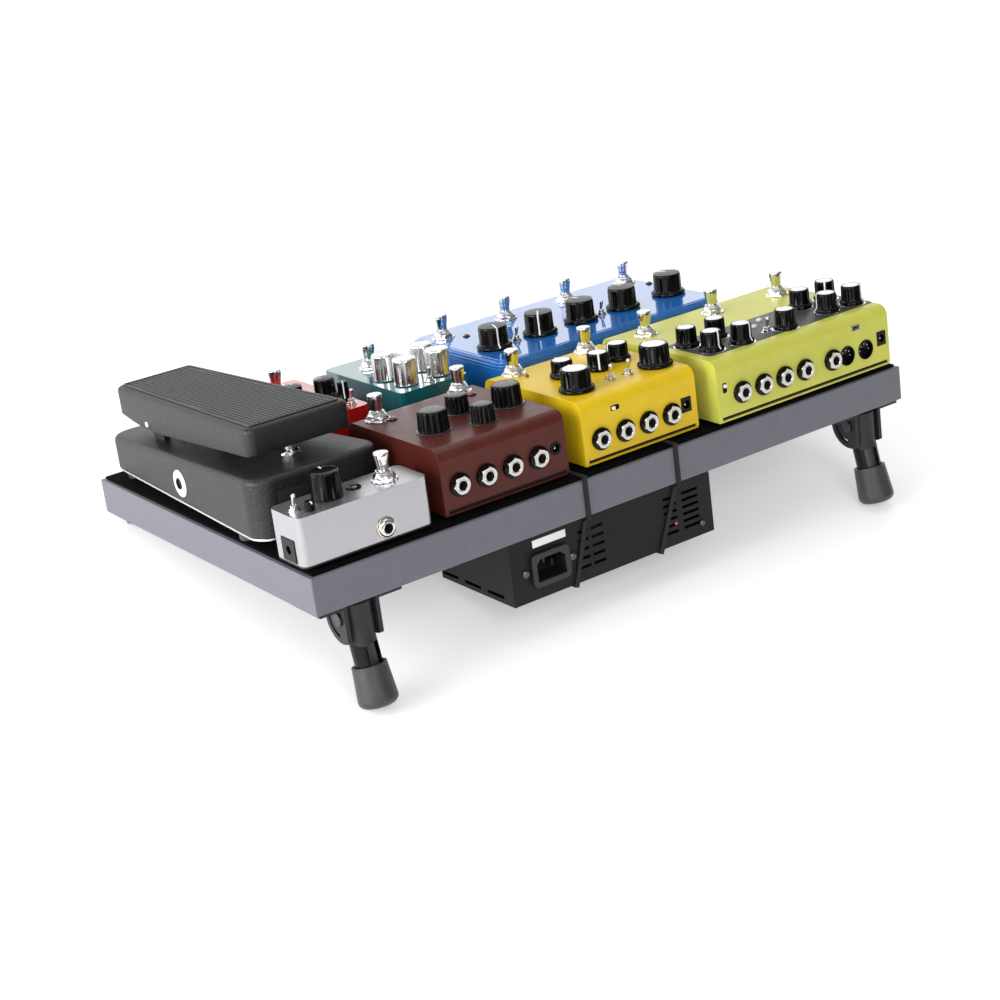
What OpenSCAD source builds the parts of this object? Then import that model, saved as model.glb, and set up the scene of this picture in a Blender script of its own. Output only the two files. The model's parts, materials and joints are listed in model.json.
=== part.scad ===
// Loaded pedalboard: a sloping folded-aluminium deck on two fold-out legs, carrying eight
// effect pedals on hook-and-loop carpet, with a power supply strapped underneath.
//
// Everything on the deck is placed in deck coordinates: X along the long rails, Y from the
// near (audience side) rail towards the player, Z square to the deck, and the deck's near
// left top corner as origin. on_deck() then tilts the deck and stands it on the floor.

/* [Deck] */
// Length of the deck along its long rails
deck_l = 520; // [518:1:540]
// Depth of the deck from the near rail to the far rail
deck_d = 317; // [316:1:330]
// Height of the folded rail
rail_h = 26; // [25:0.5:27]
// Thickness of the aluminium sheet
sheet_t = 2; // [1.5:0.5:2.5]
// Slope of the deck, down towards the player
tilt = 12.4; // [11:0.2:14]
// Thickness of the loop carpet glued to the deck
carpet_t = 2; // [1.5:0.5:2]

/* [Legs] */
// Distance of each leg's middle from the deck's end
leg_inset = 34; // [32:1:40]
// Outward lean of the leg tube, measured from square to the deck
leg_splay = 12.8; // [8:0.2:16]
// Radius of the leg tube
tube_r = 9.3; // [9:0.1:9.5]
// Radius of the foot at its lower end
foot_r = 13.6; // [13:0.2:15]
// Length of the rubber foot
foot_l = 28; // [26:1:30]

/* [Pedals] */
// Width of the two narrow pedals of the front row
narrow_w = 102; // [100:1:104]
// Width of the wide pedal of the front row
wide_w = 171; // [168:1:172]
// Width of the blue pedal
blue_w = 217; // [210:1:220]
// Depth of the narrow front-row pedals
narrow_d = 114; // [110:1:116]
// Depth of the wide pedals
wide_d = 130; // [126:1:132]
// Height of the folded-steel pedal cases over their base
case_h = 46; // [44:1:47]

/* [Wah] */
// Length of the wah pedal's casting
wah_l = 251; // [246:1:252]
// Width of the casting at the toe end
wah_toe_w = 99; // [96:1:100]
// Width of the casting at the heel end
wah_heel_w = 80; // [76:1:84]
// Thickness of the casting's walls
wah_wall = 3; // [2.5:0.5:3]

/* [Power supply] */
// Width of the power supply
psu_w = 178; // [170:1:180]
// Depth of the power supply
psu_d = 89; // [85:1:92]
// Height of the power supply
psu_h = 45; // [40:1:46]

/* [Hidden] */
$fn = 48;
eps = 0.01;

// ---------- heights over the deck sheet ----------
strip_t = 2;                        // hook strip under a pedal
base_z = carpet_t + strip_t;        // underside of a pedal
case_t = 1.6;                       // sheet of the pedal cases
plate_t = 1.5;                      // pedal base plate

// ---------- where each pedal stands: near left corner on the deck ----------
silver_at = [0.8, 7];    silver_size = [98, 37, 34];
red_at = [100.5, 171];   red_size = [56, 112, 38];
teal_at = [174.5, 154.7]; teal_size = [59, 112, 43];
brown_at = [109.8, 9.7]; brown_size = [narrow_w, narrow_d, case_h];
yellow_at = [226.5, 9.9]; yellow_size = [narrow_w, narrow_d, case_h];
green_at = [341.2, 1.7]; green_size = [wide_w, wide_d, case_h];
blue_at = [256, 142];    blue_size = [blue_w, wide_d, case_h];

// ---------- controls: places on each pedal, from its near left corner ----------
// footswitches
silver_switch_at = [76, 18];
red_switch_at = [28, 88];
teal_switch_at = [25, 83];
brown_switch_at = [[15, 97], [86.5, 101]];
yellow_switch_at = [[18, 101], [84, 101]];
green_switch_at = [[22, 103], [90, 105], [152, 99]];
blue_switch_at = [[18, 106], [79, 106], [140, 106], [201, 106]];
// knobs: x, y, radius, height
brown_knob_at = [[25, 41, 12.6, 15], [58, 61, 9.8, 13], [56, 27, 9.8, 13], [88.5, 45, 12.6, 15]];
yellow_knob_at = [[34, 63, 9.6, 13], [19, 27, 13, 16.5], [60, 54.5, 9.6, 13],
    [83.5, 62, 9.6, 13], [88, 25, 13, 16.5]];
green_knob_at = [[17.5, 50, 9.2, 15], [45, 50, 9.2, 15], [20.5, 26, 9.2, 15],
    [45.5, 21.5, 9.2, 15], [88, 21, 9.2, 15], [133, 53, 9.2, 15], [160.5, 54, 9.2, 15],
    [135.5, 26.5, 9.2, 15], [160.5, 25.5, 9.2, 15]];
blue_knob_at = [for (x = [23.5, 67, 107, 149.5, 196.5]) [x, 43, 13.8, 17.5]];
teal_knob_at = [[14.5, 43.8, 9.3, 20], [45.5, 40.5, 9.3, 20], [16.5, 18.2, 9.3, 20],
    [45.3, 17.8, 9.3, 20]];
red_knob_at = [[45, 44, 9.8, 15], [50, 25.5, 5, 14], [25, 57, 9, 12]];
silver_knob_at = [[35, 21.3, 10.5, 18], [15, 9, 3.4, 6]];
// small toggle switches
yellow_toggle_at = [[48.5, 26.5], [63.5, 25.5]];
green_toggle_at = [[74, 26]];
blue_toggle_at = [[45, 44], [128, 44]];
teal_toggle_at = [[30.5, 9]];
silver_toggle_at = [[8, 17]];
red_toggle_at = [[48, 12]];
// indicator lamps
brown_lamp_at = [[21.5, 88], [87.5, 87]];
yellow_lamp_at = [[19.5, 87], [84, 87]];
green_lamp_at = [[78, 44], [92, 54]];
blue_lamp_at = [[30, 91], [210, 84]];
silver_lamp_at = [[55, 22]];
// quarter-inch sockets in the near faces: distance from the left, height over the base
brown_jack_at = [[13.6, 19.6], [35.2, 19.6], [56.6, 19.4], [78.1, 19.2]];
yellow_jack_at = [[14.9, 17], [36.1, 17], [57.1, 17], [78, 17]];
green_jack_at = [[22.7, 18.5], [43.2, 18.5], [63.8, 18.5], [84, 18.5], [112, 18.5]];
silver_jack_at = [[62, 9.5]];
power_y = 17;                       // power socket in the silver pedal's left side

// ---------- power supply ----------
psu_at = [150, 4];                  // near left corner, deck coordinates
psu_top = -rail_h - 1.6;            // under the cover plate
psu_t = 1.5;
ear_w = 23;                         // mounting ear of the cover, on the right
inlet_x = 32;                       // middle of the mains inlet, from the left
inlet_z = -24;                      // and below the top of the case

// ---------- leg mechanism, in the plane square to the rails ----------
hinge = [11, -rail_h - 11];         // fold axis: Y and Z in deck coordinates
collar_r = 10;
collar_low = 18;                    // collar's lower end below the hinge
cheek_t = 3;
cheek_r = 17.5;
cheek_gap = 21;
bolt_r = 3;
run_fit = 0.05;                     // radial clearance of a hinge
rod_r = 6.8;
slide_gap = 0.35;
edge_r = 5;                         // rounding of the foot's lower edge
tube_root = 9;                      // tube axis starts this far below the hinge
foot_cup = 12;                      // depth of the cup round the tube
foot_gap = 0.15;                    // between the tube's end and the cup's floor
lean = tilt + leg_splay;

far_foot_r = 7.5;
far_foot_h = 8.5;
far_foot_at = [16, deck_d - 15];

// ---------- wah casting: where it stands and how high its top is ----------
wah_x = 49.5;                       // centre line
wah_y = 60;                         // toe end
wah_bottom = 8.5;                   // underside of the base plate
wah_heel_z = 34;
wah_toe_z = 51;

function wah_top(y) = wah_toe_z + (wah_heel_z - wah_toe_z) * (y - wah_y + 1) / (wah_l + 2);

// ---------- the deck's stand: floor, leg length and overall reach ----------

// Height of the floor below the deck's origin, measured upright
function upright_y(p) = p[0] * cos(tilt) + p[1] * sin(tilt);
function upright_z(p) = -p[0] * sin(tilt) + p[1] * cos(tilt);
floor_z = upright_z([far_foot_at[1] + far_foot_r, -rail_h - far_foot_h]);
root_point = [hinge[0], hinge[1] - tube_root];
leg_l = (upright_z(root_point) - floor_z + edge_r * cos(lean)
    - (foot_r - edge_r) * sin(lean) - edge_r) / cos(lean);
near_y = upright_y(root_point) - leg_l * sin(lean) + edge_r * sin(lean)
    - (foot_r - edge_r) * cos(lean) - edge_r;
far_y = max(upright_y([deck_d, 0]),
    upright_y([wah_y + wah_l, wah_top(wah_y + wah_l)]));

module on_deck() {
    translate([-deck_l / 2, -(near_y + far_y) / 2, -floor_z])
        rotate([-tilt, 0, 0])
            children();
}

module at_pedal(at) {
    translate([at[0], at[1], base_z]) children();
}

// ---------- general shapes ----------
// Box with rounded upright edges
module upright_box(size, r) {
    linear_extrude(size[2])
        rounded_outline(size[0], size[1], r);
}

function arc(c, r, from, to, n = 6) =
    [for (i = [0:n]) let (a = from + (to - from) * i / n) c + r * [cos(a), sin(a)]];

module rounded_outline(w, d, r) {
    polygon(concat(
        arc([w - r, r], r, -90, 0), arc([w - r, d - r], r, 0, 90),
        arc([r, d - r], r, 90, 180), arc([r, r], r, 180, 270)));
}

// Outline that tapers from one width to another, with round corners, centred on X = 0
module tapered_outline(w0, w1, l, r) {
    lead = atan((w0 - w1) / 2 / l);
    polygon(concat(
        arc([w0 / 2 - r, r], r, -90, lead), arc([w1 / 2 - r, l - r], r, lead, 90),
        arc([-w1 / 2 + r, l - r], r, 90, 180 - lead), arc([-w0 / 2 + r, r], r, 180 - lead, 270)));
}

// Extrudes an outline drawn in the Y-Z plane along +X
module along_x(l) {
    rotate([90, 0, 90]) linear_extrude(l) children();
}

module tube(r_out, r_in, h) {
    difference() {
        cylinder(r = r_out, h = h);
        translate([0, 0, -1]) cylinder(r = r_in, h = h + 2);
    }
}

// ---------- deck ----------
flange = 22;
notch_w = 2 * collar_r + 4;

module leg_places() {
    for (x = [leg_inset, deck_l - leg_inset])
        translate([x, 0, 0]) children();
}

strap_slot_y = 99;

module deck_tray() {
    color("dimgray") on_deck() difference() {
        translate([0, 0, -rail_h]) cube([deck_l, deck_d, rail_h]);
        translate([sheet_t, sheet_t, -rail_h + sheet_t])
            cube([deck_l - 2 * sheet_t, deck_d - 2 * sheet_t, rail_h - 2 * sheet_t]);
        translate([flange, flange, -rail_h - 1])
            cube([deck_l - 2 * flange, deck_d - 2 * flange, sheet_t + 2]);
        leg_places() translate([-notch_w / 2, sheet_t, -rail_h - 1])
            cube([notch_w, flange, sheet_t + 2]);
        for (x = strap_x)
            translate([x - 9, strap_slot_y, -rail_h / 2]) cube([18, 6, rail_h]);
    }
}

module deck_carpet() {
    color("black") on_deck() difference() {
        translate([3, 3, 0]) cube([deck_l - 6, deck_d - 6, carpet_t]);
        for (x = strap_x)
            translate([x - 9, strap_slot_y, -1]) cube([18, 6, carpet_t + 2]);
    }
}

// Two strips under each pedal, running front to back
module strip_pair(at, size, strip_w) {
    for (x = [6, size[0] - 6 - strip_w])
        translate([at[0] + x, at[1] + 8, carpet_t]) cube([strip_w, size[1] - 16, strip_t]);
}

module hook_strips() {
    color([0.1, 0.1, 0.1]) on_deck() {
        strip_pair(silver_at, silver_size, 24);
        strip_pair(red_at, red_size, 16);
        strip_pair(teal_at, teal_size, 16);
        strip_pair(brown_at, brown_size, 22);
        strip_pair(yellow_at, yellow_size, 20);
        strip_pair(green_at, green_size, 24);
        strip_pair(blue_at, blue_size, 24);
    }
}

module rubber_foot(r, h) {
    rotate_extrude() polygon(concat([[0, 0], [r, 0]], arc([r - 1.5, h - 1.5], 1.5, 0, 90), [[0, h]]));
}

module rubber_feet() {
    color([0.08, 0.08, 0.08]) on_deck() {
        for (x = [far_foot_at[0], deck_l - far_foot_at[0]])
            translate([x, far_foot_at[1], -rail_h]) mirror([0, 0, 1])
                rotate_extrude() square([far_foot_r, far_foot_h]);
        for (p = wah_foot_at)
            translate([p[0], p[1], wah_bottom]) mirror([0, 0, 1])
                rubber_foot(7, wah_bottom - carpet_t);
    }
}

// ---------- legs ----------
plate_w = 62;
plate_d = 36;
bracket_t = 2.6;
lock_slot_r = 12.5;                 // radius of the curved lock slot

module cheek() {
    along_x(cheek_t) difference() {
        intersection() {
            translate(hinge) circle(r = cheek_r);
            translate([hinge[0] - 8, -rail_h - 40]) square([40, 40 - eps]);
        }
        translate(hinge) difference() {
            intersection() {
                circle(r = lock_slot_r + 1.3);
                polygon([[0, 0], [40, -2], [40, -40], [6, -40]]);
            }
            circle(r = lock_slot_r - 1.3);
        }
        translate(hinge) circle(r = bolt_r + run_fit);
    }
}

module leg_brackets() {
    color([0.13, 0.13, 0.13]) on_deck() leg_places() {
        difference() {
            translate([-plate_w / 2, 2.5, -rail_h - bracket_t]) cube([plate_w, plate_d, bracket_t]);
            translate([-cheek_gap / 2, -1, -rail_h - bracket_t - 1])
                cube([cheek_gap, plate_d + 10, bracket_t + 2]);
            for (x = [-24, 24])
                translate([x, 13, -rail_h - bracket_t - 1]) cylinder(r = 2.2, h = bracket_t + 2);
        }
        for (x = [-cheek_gap / 2 - cheek_t, cheek_gap / 2])
            translate([x, 0, 0]) cheek();
    }
}

module screw(head_r, shank_r, l) {
    rotate_extrude() polygon([[0, 0], [0, 1.8], [head_r * 0.6, 1.8], [head_r, 0.9],
        [head_r, 0], [shank_r, 0], [shank_r, -l], [0, -l]]);
}

module screws_and_bolts() {
    color("silver") on_deck() {
        bolt_l = cheek_gap + 2 * cheek_t;
        leg_places() translate([-bolt_l / 2 - 1.6, hinge[0], hinge[1]]) rotate([0, 90, 0]) {
            cylinder(r = bolt_r, h = bolt_l + 3.2);
            cylinder(r = 4.6, h = 1.5);
            translate([0, 0, bolt_l + 1.7]) cylinder(r = 4.6, h = 1.5);
        }
        leg_places() for (x = [-24, 24])
            translate([x, 13, -rail_h - bracket_t]) mirror([0, 0, 1]) screw(4, 2.1, bracket_t - 0.1);
        for (x = [-20, 20])
            translate([psu_at[0] + inlet_x + x, psu_at[1], psu_top + inlet_z])
                rotate([90, 0, 0]) screw(3, 1.5, psu_t - 0.1);
        translate([psu_at[0] + psu_w - 10.5, psu_at[1], psu_top - psu_h + 9])
            rotate([90, 0, 0]) screw(2.4, 1.5, psu_t - 0.1);
    }
}

// The fold part of a leg: collar on the hinge and the tube below it
module leg(side) {
    window = side * 20;
    on_deck() translate([side < 0 ? leg_inset : deck_l - leg_inset, hinge[0], hinge[1]])
    difference() {
        union() {
            translate([0, 0, -collar_low]) cylinder(r = collar_r, h = collar_low + 9);
            translate([0, 0, -tube_root]) rotate([-leg_splay, 0, 0]) mirror([0, 0, 1])
                cylinder(r = tube_r, h = leg_l - foot_l + foot_cup - foot_gap);
        }
        rotate([0, 90, 0]) translate([0, 0, -20]) cylinder(r = bolt_r + run_fit, h = 40);
        translate([0, 0, -tube_root]) rotate([-leg_splay, 0, 0]) mirror([0, 0, 1]) {
            translate([0, 0, 4]) cylinder(r = rod_r + slide_gap, h = 80);
            rotate([0, 0, -window]) translate([-5.6, -20, 11.5]) cube([11.2, 20, 60]);
        }
    }
}

// Rubber foot with the sliding rod moulded into it
module leg_foot(side) {
    on_deck() translate([side < 0 ? leg_inset : deck_l - leg_inset, hinge[0], hinge[1] - tube_root])
    rotate([-leg_splay, 0, 0]) mirror([0, 0, 1]) {
        translate([0, 0, 8]) cylinder(r = rod_r, h = leg_l - 12);
        translate([0, 0, leg_l]) mirror([0, 0, 1]) rotate_extrude() polygon(concat(
            [[0, 0]], arc([foot_r - edge_r, edge_r], edge_r, -90, 0),
            [[foot_r - 1.8, foot_l], [tube_r + 0.7, foot_l], [tube_r + 0.7, foot_l - foot_cup],
                [0, foot_l - foot_cup]]));
    }
}

module leg_left() { color([0.2, 0.2, 0.2]) leg(-1); }
module leg_right() { color([0.2, 0.2, 0.2]) leg(1); }
module leg_foot_left() { color([0.12, 0.12, 0.13]) leg_foot(-1); }
module leg_foot_right() { color([0.12, 0.12, 0.13]) leg_foot(1); }

// ---------- power supply ----------
module vent(x, z, l) {
    translate([x, -1, z - 1.1]) cube([l, psu_t + 2, 2.2]);
}

module psu_case() {
    color([0.15, 0.15, 0.16]) on_deck() translate([psu_at[0], psu_at[1], psu_top - psu_h])
    difference() {
        cube([psu_w, psu_d, psu_h]);
        translate([psu_t, psu_t, psu_t]) cube([psu_w - 2 * psu_t, psu_d - 2 * psu_t, psu_h]);
        for (i = [0:4]) {
            vent(58, 10 + 6.5 * i, 9);
            vent(69.5, 10 + 6.5 * i, 10.5);
        }
        for (i = [0:5]) {
            vent(134, 10 + 5.2 * i, 12);
            vent(151, 10 + 5.2 * i, 15);
        }
        for (y = [12, 40, 68])
            translate([-1, y, 3.4]) cube([psu_t + 2, 20, 2.4]);
        translate([inlet_x - 13.6, -1, psu_h + inlet_z - 9.9]) cube([27.2, psu_t + 2, 19.8]);
        for (x = [-20, 20])
            translate([inlet_x + x, -1, psu_h + inlet_z]) rotate([-90, 0, 0])
                cylinder(r = 1.6, h = psu_t + 2);
        translate([psu_w - 10.5, -1, 9]) rotate([-90, 0, 0]) cylinder(r = 1.6, h = psu_t + 2);
    }
}

module psu_cover() {
    color([0.13, 0.13, 0.14]) on_deck() translate([psu_at[0], psu_at[1], psu_top])
        cube([psu_w + ear_w, psu_d, -rail_h - psu_top]);
}

// Mains inlet: flange, recess and three blades
module psu_inlet() {
    color([0.05, 0.05, 0.05]) on_deck()
    translate([psu_at[0] + inlet_x, psu_at[1], psu_top + inlet_z]) rotate([90, 0, 0]) {
        difference() {
            union() {
                translate([-16, -12, 0]) upright_box([32, 24, 3], 4);
                translate([-13.4, -9.7, -17]) cube([26.8, 19.4, 17 + eps]);
            }
            translate([0, 0, -15.5]) linear_extrude(30)
                polygon([[-12, -8], [12, -8], [12, 4.5], [8, 8], [-8, 8], [-12, 4.5]]);
        }
        for (p = [[-7, -1.5], [7, -1.5], [0, 2.5]])
            translate([p[0] - 1, p[1] - 2.5, -15.6]) cube([2, 5, 9]);
    }
}

// Ring-core transformer and circuit board on the floor of the case
module psu_transformer() {
    color("peru") on_deck() translate([psu_at[0] + 105, psu_at[1] + 45, psu_top - psu_h + psu_t]) {
        translate([0, 0, 4]) rotate_extrude() translate([12, 0])
            polygon(concat(arc([20, 5], 5, -90, 0), arc([20, 23], 5, 0, 90),
                arc([5, 23], 5, 90, 180), arc([5, 5], 5, 180, 270)));
        translate([-92, -38, 0]) cube([148, 76, 4]);
        translate([0, 0, 3]) cylinder(r = 17.2, h = 14);
    }
}

// Elastic bands: straight over the rail and the deck, then slanting round the power supply
strap_x = [216, 296.5];
strap_lean = [17, 22];
strap_w = 3.6;
strap_t = 1.1;
strap_turn = -rail_h - 1;           // height at which a band starts to slant
strap_top = carpet_t + 0.4;

// Part of the band's loop, seen along the rails: the path and its inner side
module band(outer, inner) {
    translate([-strap_w / 2, 0, 0]) along_x(strap_w) polygon(concat(outer, inner));
}

module strap(lean) {
    front = psu_at[1] - 0.4;
    reach = (strap_turn - psu_top + psu_h + 0.3 + strap_w / 2 * sin(lean)) / cos(lean);
    low = strap_turn - reach;
    back = psu_at[1] + psu_d + 0.6;
    over = strap_slot_y + 3.5;
    rail = -0.4;
    band([[rail - strap_t, strap_turn - 1], [rail - strap_t, strap_top + strap_t],
            [over, strap_top + strap_t], [over, -14], [back + strap_t, strap_turn - 1]],
        [[back, strap_turn - 1], [over - strap_t, -14.5], [over - strap_t, strap_top],
            [rail, strap_top], [rail, strap_turn - 1]]);
    translate([0, 0, strap_turn]) rotate([0, lean, 0]) translate([0, 0, -strap_turn])
        band([[rail - strap_t, strap_turn + 1], [rail, strap_turn + 1], [rail, strap_turn - 0.5],
                [front, strap_turn - 4], [front, low], [back, low], [back, strap_turn + 1]],
            [[back + strap_t, strap_turn + 1], [back + strap_t, low - strap_t],
                [front - strap_t, low - strap_t], [front - strap_t, strap_turn - 3.6],
                [rail - strap_t, strap_turn]]);
}

module psu_straps() {
    color([0.1, 0.1, 0.11]) on_deck() for (i = [0:1])
        translate([strap_x[i], 0, 0]) strap(strap_lean[i]);
}

// ---------- wah pedal ----------
wah_foot_at = [[9.5, 96], [89.5, 96], [19, 290], [80, 290]];
axle = [247, 52];                   // treadle axis: Y and Z
axle_r = 3;
rack_r = 48;                        // pitch radius of the rack about the axle
pinion_r = 8;
mesh_lead = 26;                     // the pinion lies this far below the axle's level
pinion_at = axle + (rack_r + pinion_r) * [-cos(mesh_lead), -sin(mesh_lead)];
toe_at = [51, 99.5];
toe_button_r = 4;
toe_button_h = 19.3;

// Side outline under the sloping top of the casting, lowered by t
module wah_side(t) {
    polygon([[wah_y - 1, 0], [wah_y + wah_l + 1, 0], [wah_y + wah_l + 1, wah_heel_z - t],
        [wah_y - 1, wah_toe_z - t]]);
}

module wah_shell(inset, drop, low) {
    intersection() {
        translate([wah_x, wah_y + inset, low]) linear_extrude(70)
            tapered_outline(wah_toe_w - 2 * inset, wah_heel_w - 2 * inset, wah_l - 2 * inset,
                16 - inset);
        along_x(120) wah_side(drop);
    }
}

module wah_base() {
    ear_x = 24;
    color([0.22, 0.22, 0.22]) on_deck() difference() {
        union() {
            difference() {
                wah_shell(0, 0, wah_bottom + plate_t);
                wah_shell(wah_wall, wah_wall, wah_bottom);
            }
            for (s = [-1, 1])
                translate([wah_x + s * ear_x - 3, 0, 0]) along_x(6) polygon(concat(
                    [[axle[0] + 9, 35], [axle[0] + 7, axle[1]]],
                    arc(axle, 7, 0, 180), [[axle[0] - 9, 35]]));
        }
        translate([-10, axle[0], axle[1]]) rotate([0, 90, 0])
            cylinder(r = axle_r, h = 140);
        translate([wah_x - 4, 192, 20]) cube([8, 24, 40]);
        translate([toe_at[0], toe_at[1], 20]) cylinder(r = 6.1, h = 60);
        translate([-1, wah_jack_at[0], wah_jack_at[1]]) rotate([0, 90, 0])
            cylinder(r = 4.9, h = 30);
        translate([wah_x - 33, wah_y - 1, 18]) cube([66, 2.2, 22]);
    }
}

wah_jack_at = [182, 24];
wah_jack_x = wah_x - wah_toe_w / 2
    + (wah_jack_at[0] - wah_y) * (wah_toe_w - wah_heel_w) / 2 / wah_l;

module wah_base_plate() {
    color("silver") on_deck() translate([wah_x, wah_y, wah_bottom])
        linear_extrude(plate_t) tapered_outline(wah_toe_w, wah_heel_w, wah_l, 16);
}

module wah_axle() {
    color("silver") on_deck() translate([wah_x, axle[0], axle[1]]) rotate([0, 90, 0])
        translate([0, 0, -33.6]) cylinder(r = axle_r, h = 67.2);
}

// Potentiometer that the pinion's shaft turns in, hung from the casting
module wah_pot() {
    color("gray") on_deck() translate([wah_x + 6, pinion_at[0], pinion_at[1]])
    rotate([0, 90, 0]) difference() {
        union() {
            translate([0, 0, 5]) cylinder(r = 10, h = 10);
            cylinder(r = 4.6, h = 5 + eps);
            translate([-10.9, -5, 5]) cube([4, 10, 3]);
        }
        translate([0, 0, -1]) cylinder(r = 3 + run_fit, h = 12);
    }
}

treadle_toe = 77;
treadle_heel = 299;
treadle_toe_z = 80.5;
treadle_heel_z = 71.6;
treadle_toe_w = 79;
treadle_heel_w = 64.5;
treadle_skin = 3.5;                 // thickness of the treadle under the mat
treadle_slope = atan((treadle_toe_z - treadle_heel_z) / (treadle_heel - treadle_toe));
treadle_skirt = [[treadle_heel, 51.5], [268, 48], [232, 47.5], [treadle_toe, 61.5]];

module treadle_block(inset, drop) {
    l = treadle_heel - treadle_toe - 2 * inset;
    intersection() {
        translate([wah_x, treadle_toe + inset, 30]) linear_extrude(80)
            tapered_outline(treadle_toe_w - 2 * inset, treadle_heel_w - 2 * inset, l,
                7 - inset / 2);
        along_x(120) polygon(concat(
            [[treadle_toe, treadle_toe_z - drop], [treadle_heel, treadle_heel_z - drop]],
            drop == 0 ? treadle_skirt : [[treadle_heel, 30], [treadle_toe, 30]]));
    }
}

module wah_treadle() {
    color([0.2, 0.2, 0.2]) on_deck() difference() {
        treadle_block(0, 0);
        treadle_block(2.5, treadle_skin);
        translate([-10, axle[0], axle[1]]) rotate([0, 90, 0])
            cylinder(r = axle_r + run_fit, h = 140);
        mat_space(0.1);
    }
}

mat_l = 212;
mat_toe_w = 69;
mat_heel_w = 55.5;
mat_t = 1.4;
rib_pitch = 3.2;

// Where the mat lies in the treadle's top
module mat_frame() {
    translate([wah_x, treadle_toe + 5, treadle_toe_z - 5 * tan(treadle_slope)])
        rotate([-treadle_slope, 0, 0]) children();
}

module mat_space(gap) {
    mat_frame() translate([0, -gap, -mat_t]) linear_extrude(5)
        tapered_outline(mat_toe_w + 2 * gap, mat_heel_w + 2 * gap, mat_l + 2 * gap, 2);
}

module wah_tread_mat() {
    color([0.1, 0.1, 0.1]) on_deck() mat_frame() translate([0, 0, -mat_t]) {
        linear_extrude(mat_t) tapered_outline(mat_toe_w, mat_heel_w, mat_l, 2);
        for (i = [-8:8])
            translate([i * rib_pitch - 0.8, 3, mat_t - eps]) cube([1.6, mat_l - 6, 0.9]);
    }
}

// Rack: a toothed arc about the axle, on an arm from the treadle's ceiling
tooth_module = 1;
rack_teeth = 2 * rack_r / tooth_module;
pinion_teeth = 2 * pinion_r / tooth_module;

function tooth(r, a, half, out, down) = [
    (r - down) * [cos(a - half * 1.5), sin(a - half * 1.5)],
    (r + out) * [cos(a - half * 0.5), sin(a - half * 0.5)],
    (r + out) * [cos(a + half * 0.5), sin(a + half * 0.5)],
    (r - down) * [cos(a + half * 1.5), sin(a + half * 1.5)]];

function treadle_ceiling(y) =
    treadle_toe_z - treadle_skin - (y - treadle_toe) * tan(treadle_slope);

module wah_rack() {
    step = 360 / rack_teeth;
    arm_y = axle[0] - rack_r - 1;
    arm_w = 10;
    base_a = 180 + mesh_lead;
    color("ivory") on_deck() translate([wah_x - 2, 0, 0]) {
        along_x(4) translate(axle) polygon(concat(
            [for (i = [-3:6]) each tooth(rack_r, base_a + i * step, step * 0.2, 0.75, 1)],
            arc([0, 0], rack_r - 6, base_a + 6.6 * step, base_a - 3.6 * step)));
        translate([0.5, 0, 0]) along_x(3) polygon([
            axle + (rack_r - 2) * [cos(base_a - 2 * step), sin(base_a - 2 * step)],
            [arm_y, 60], [arm_y, treadle_ceiling(arm_y)],
            [arm_y + arm_w, treadle_ceiling(arm_y + arm_w)],
            axle + (rack_r - 5) * [cos(base_a - 2 * step), sin(base_a - 2 * step)]]);
    }
}

module wah_pinion() {
    step = 360 / pinion_teeth;
    start = mesh_lead + step / 2;
    color("ivory") on_deck() translate([0, pinion_at[0], pinion_at[1]]) {
        translate([wah_x - 3, 0, 0]) along_x(6)
            polygon([for (i = [0:pinion_teeth - 1])
                each tooth(pinion_r, start + i * step, step * 0.2, 0.75, 1)]);
        translate([wah_x + 3 - eps, 0, 0]) rotate([0, 90, 0]) cylinder(r = 3, h = 13);
    }
}

// ---------- pedal cases ----------
slot_h = 2.5;                       // open slot over the base plate of a folded case
bend_r = 8;

// Steel case folded over its near and far edges, with closed ends and an open underside
module folded_outline(d, h, r) {
    polygon(concat([[0, 0], [d, 0]], arc([d - r, h - r], r, 0, 90), arc([r, h - r], r, 90, 180)));
}

module folded_case(size) {
    difference() {
        translate([0, 0, plate_t]) along_x(size[0])
            folded_outline(size[1], size[2] - plate_t, bend_r);
        translate([case_t, case_t, plate_t - 1]) along_x(size[0] - 2 * case_t)
            folded_outline(size[1] - 2 * case_t, size[2] - plate_t + 1 - case_t, bend_r - case_t);
        for (y = [-1, size[1] - case_t - 1])
            translate([3, y, plate_t - 1]) cube([size[0] - 5, case_t + 2, slot_h + 1]);
    }
}

// Cast case with upright rounded corners and an open underside
module cast_case(size, r) {
    wall = 2.2;
    difference() {
        translate([0, 0, plate_t]) upright_box([size[0], size[1], size[2] - plate_t], r);
        translate([wall, wall, plate_t - 1])
            upright_box([size[0] - 2 * wall, size[1] - 2 * wall, size[2] - plate_t + 1 - wall],
                r - wall / 2);
    }
}

// Large casting with a bevelled rim round its top
module bevelled_case(size, r, bevel) {
    wall = 2.4;
    rim = wall + bevel / 2;
    difference() {
        union() {
            translate([0, 0, plate_t]) upright_box([size[0], size[1], size[2] - plate_t - bevel], r);
            steps = 4;
            for (i = [0:steps - 1]) {
                a0 = 90 * i / steps;
                a1 = 90 * (i + 1) / steps;
                inset = bevel * (1 - cos((a0 + a1) / 2));
                translate([inset, inset, size[2] - bevel + bevel * sin(a0) - eps])
                    upright_box([size[0] - 2 * inset, size[1] - 2 * inset,
                        bevel * (sin(a1) - sin(a0)) + eps], r - inset / 2);
            }
        }
        translate([wall, wall, plate_t - 1])
            upright_box([size[0] - 2 * wall, size[1] - 2 * wall, size[2] - plate_t + 1 - bevel], r);
        translate([rim, rim, size[2] - bevel - 2])
            upright_box([size[0] - 2 * rim, size[1] - 2 * rim, bevel + 2 - wall], r);
    }
}

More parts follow.
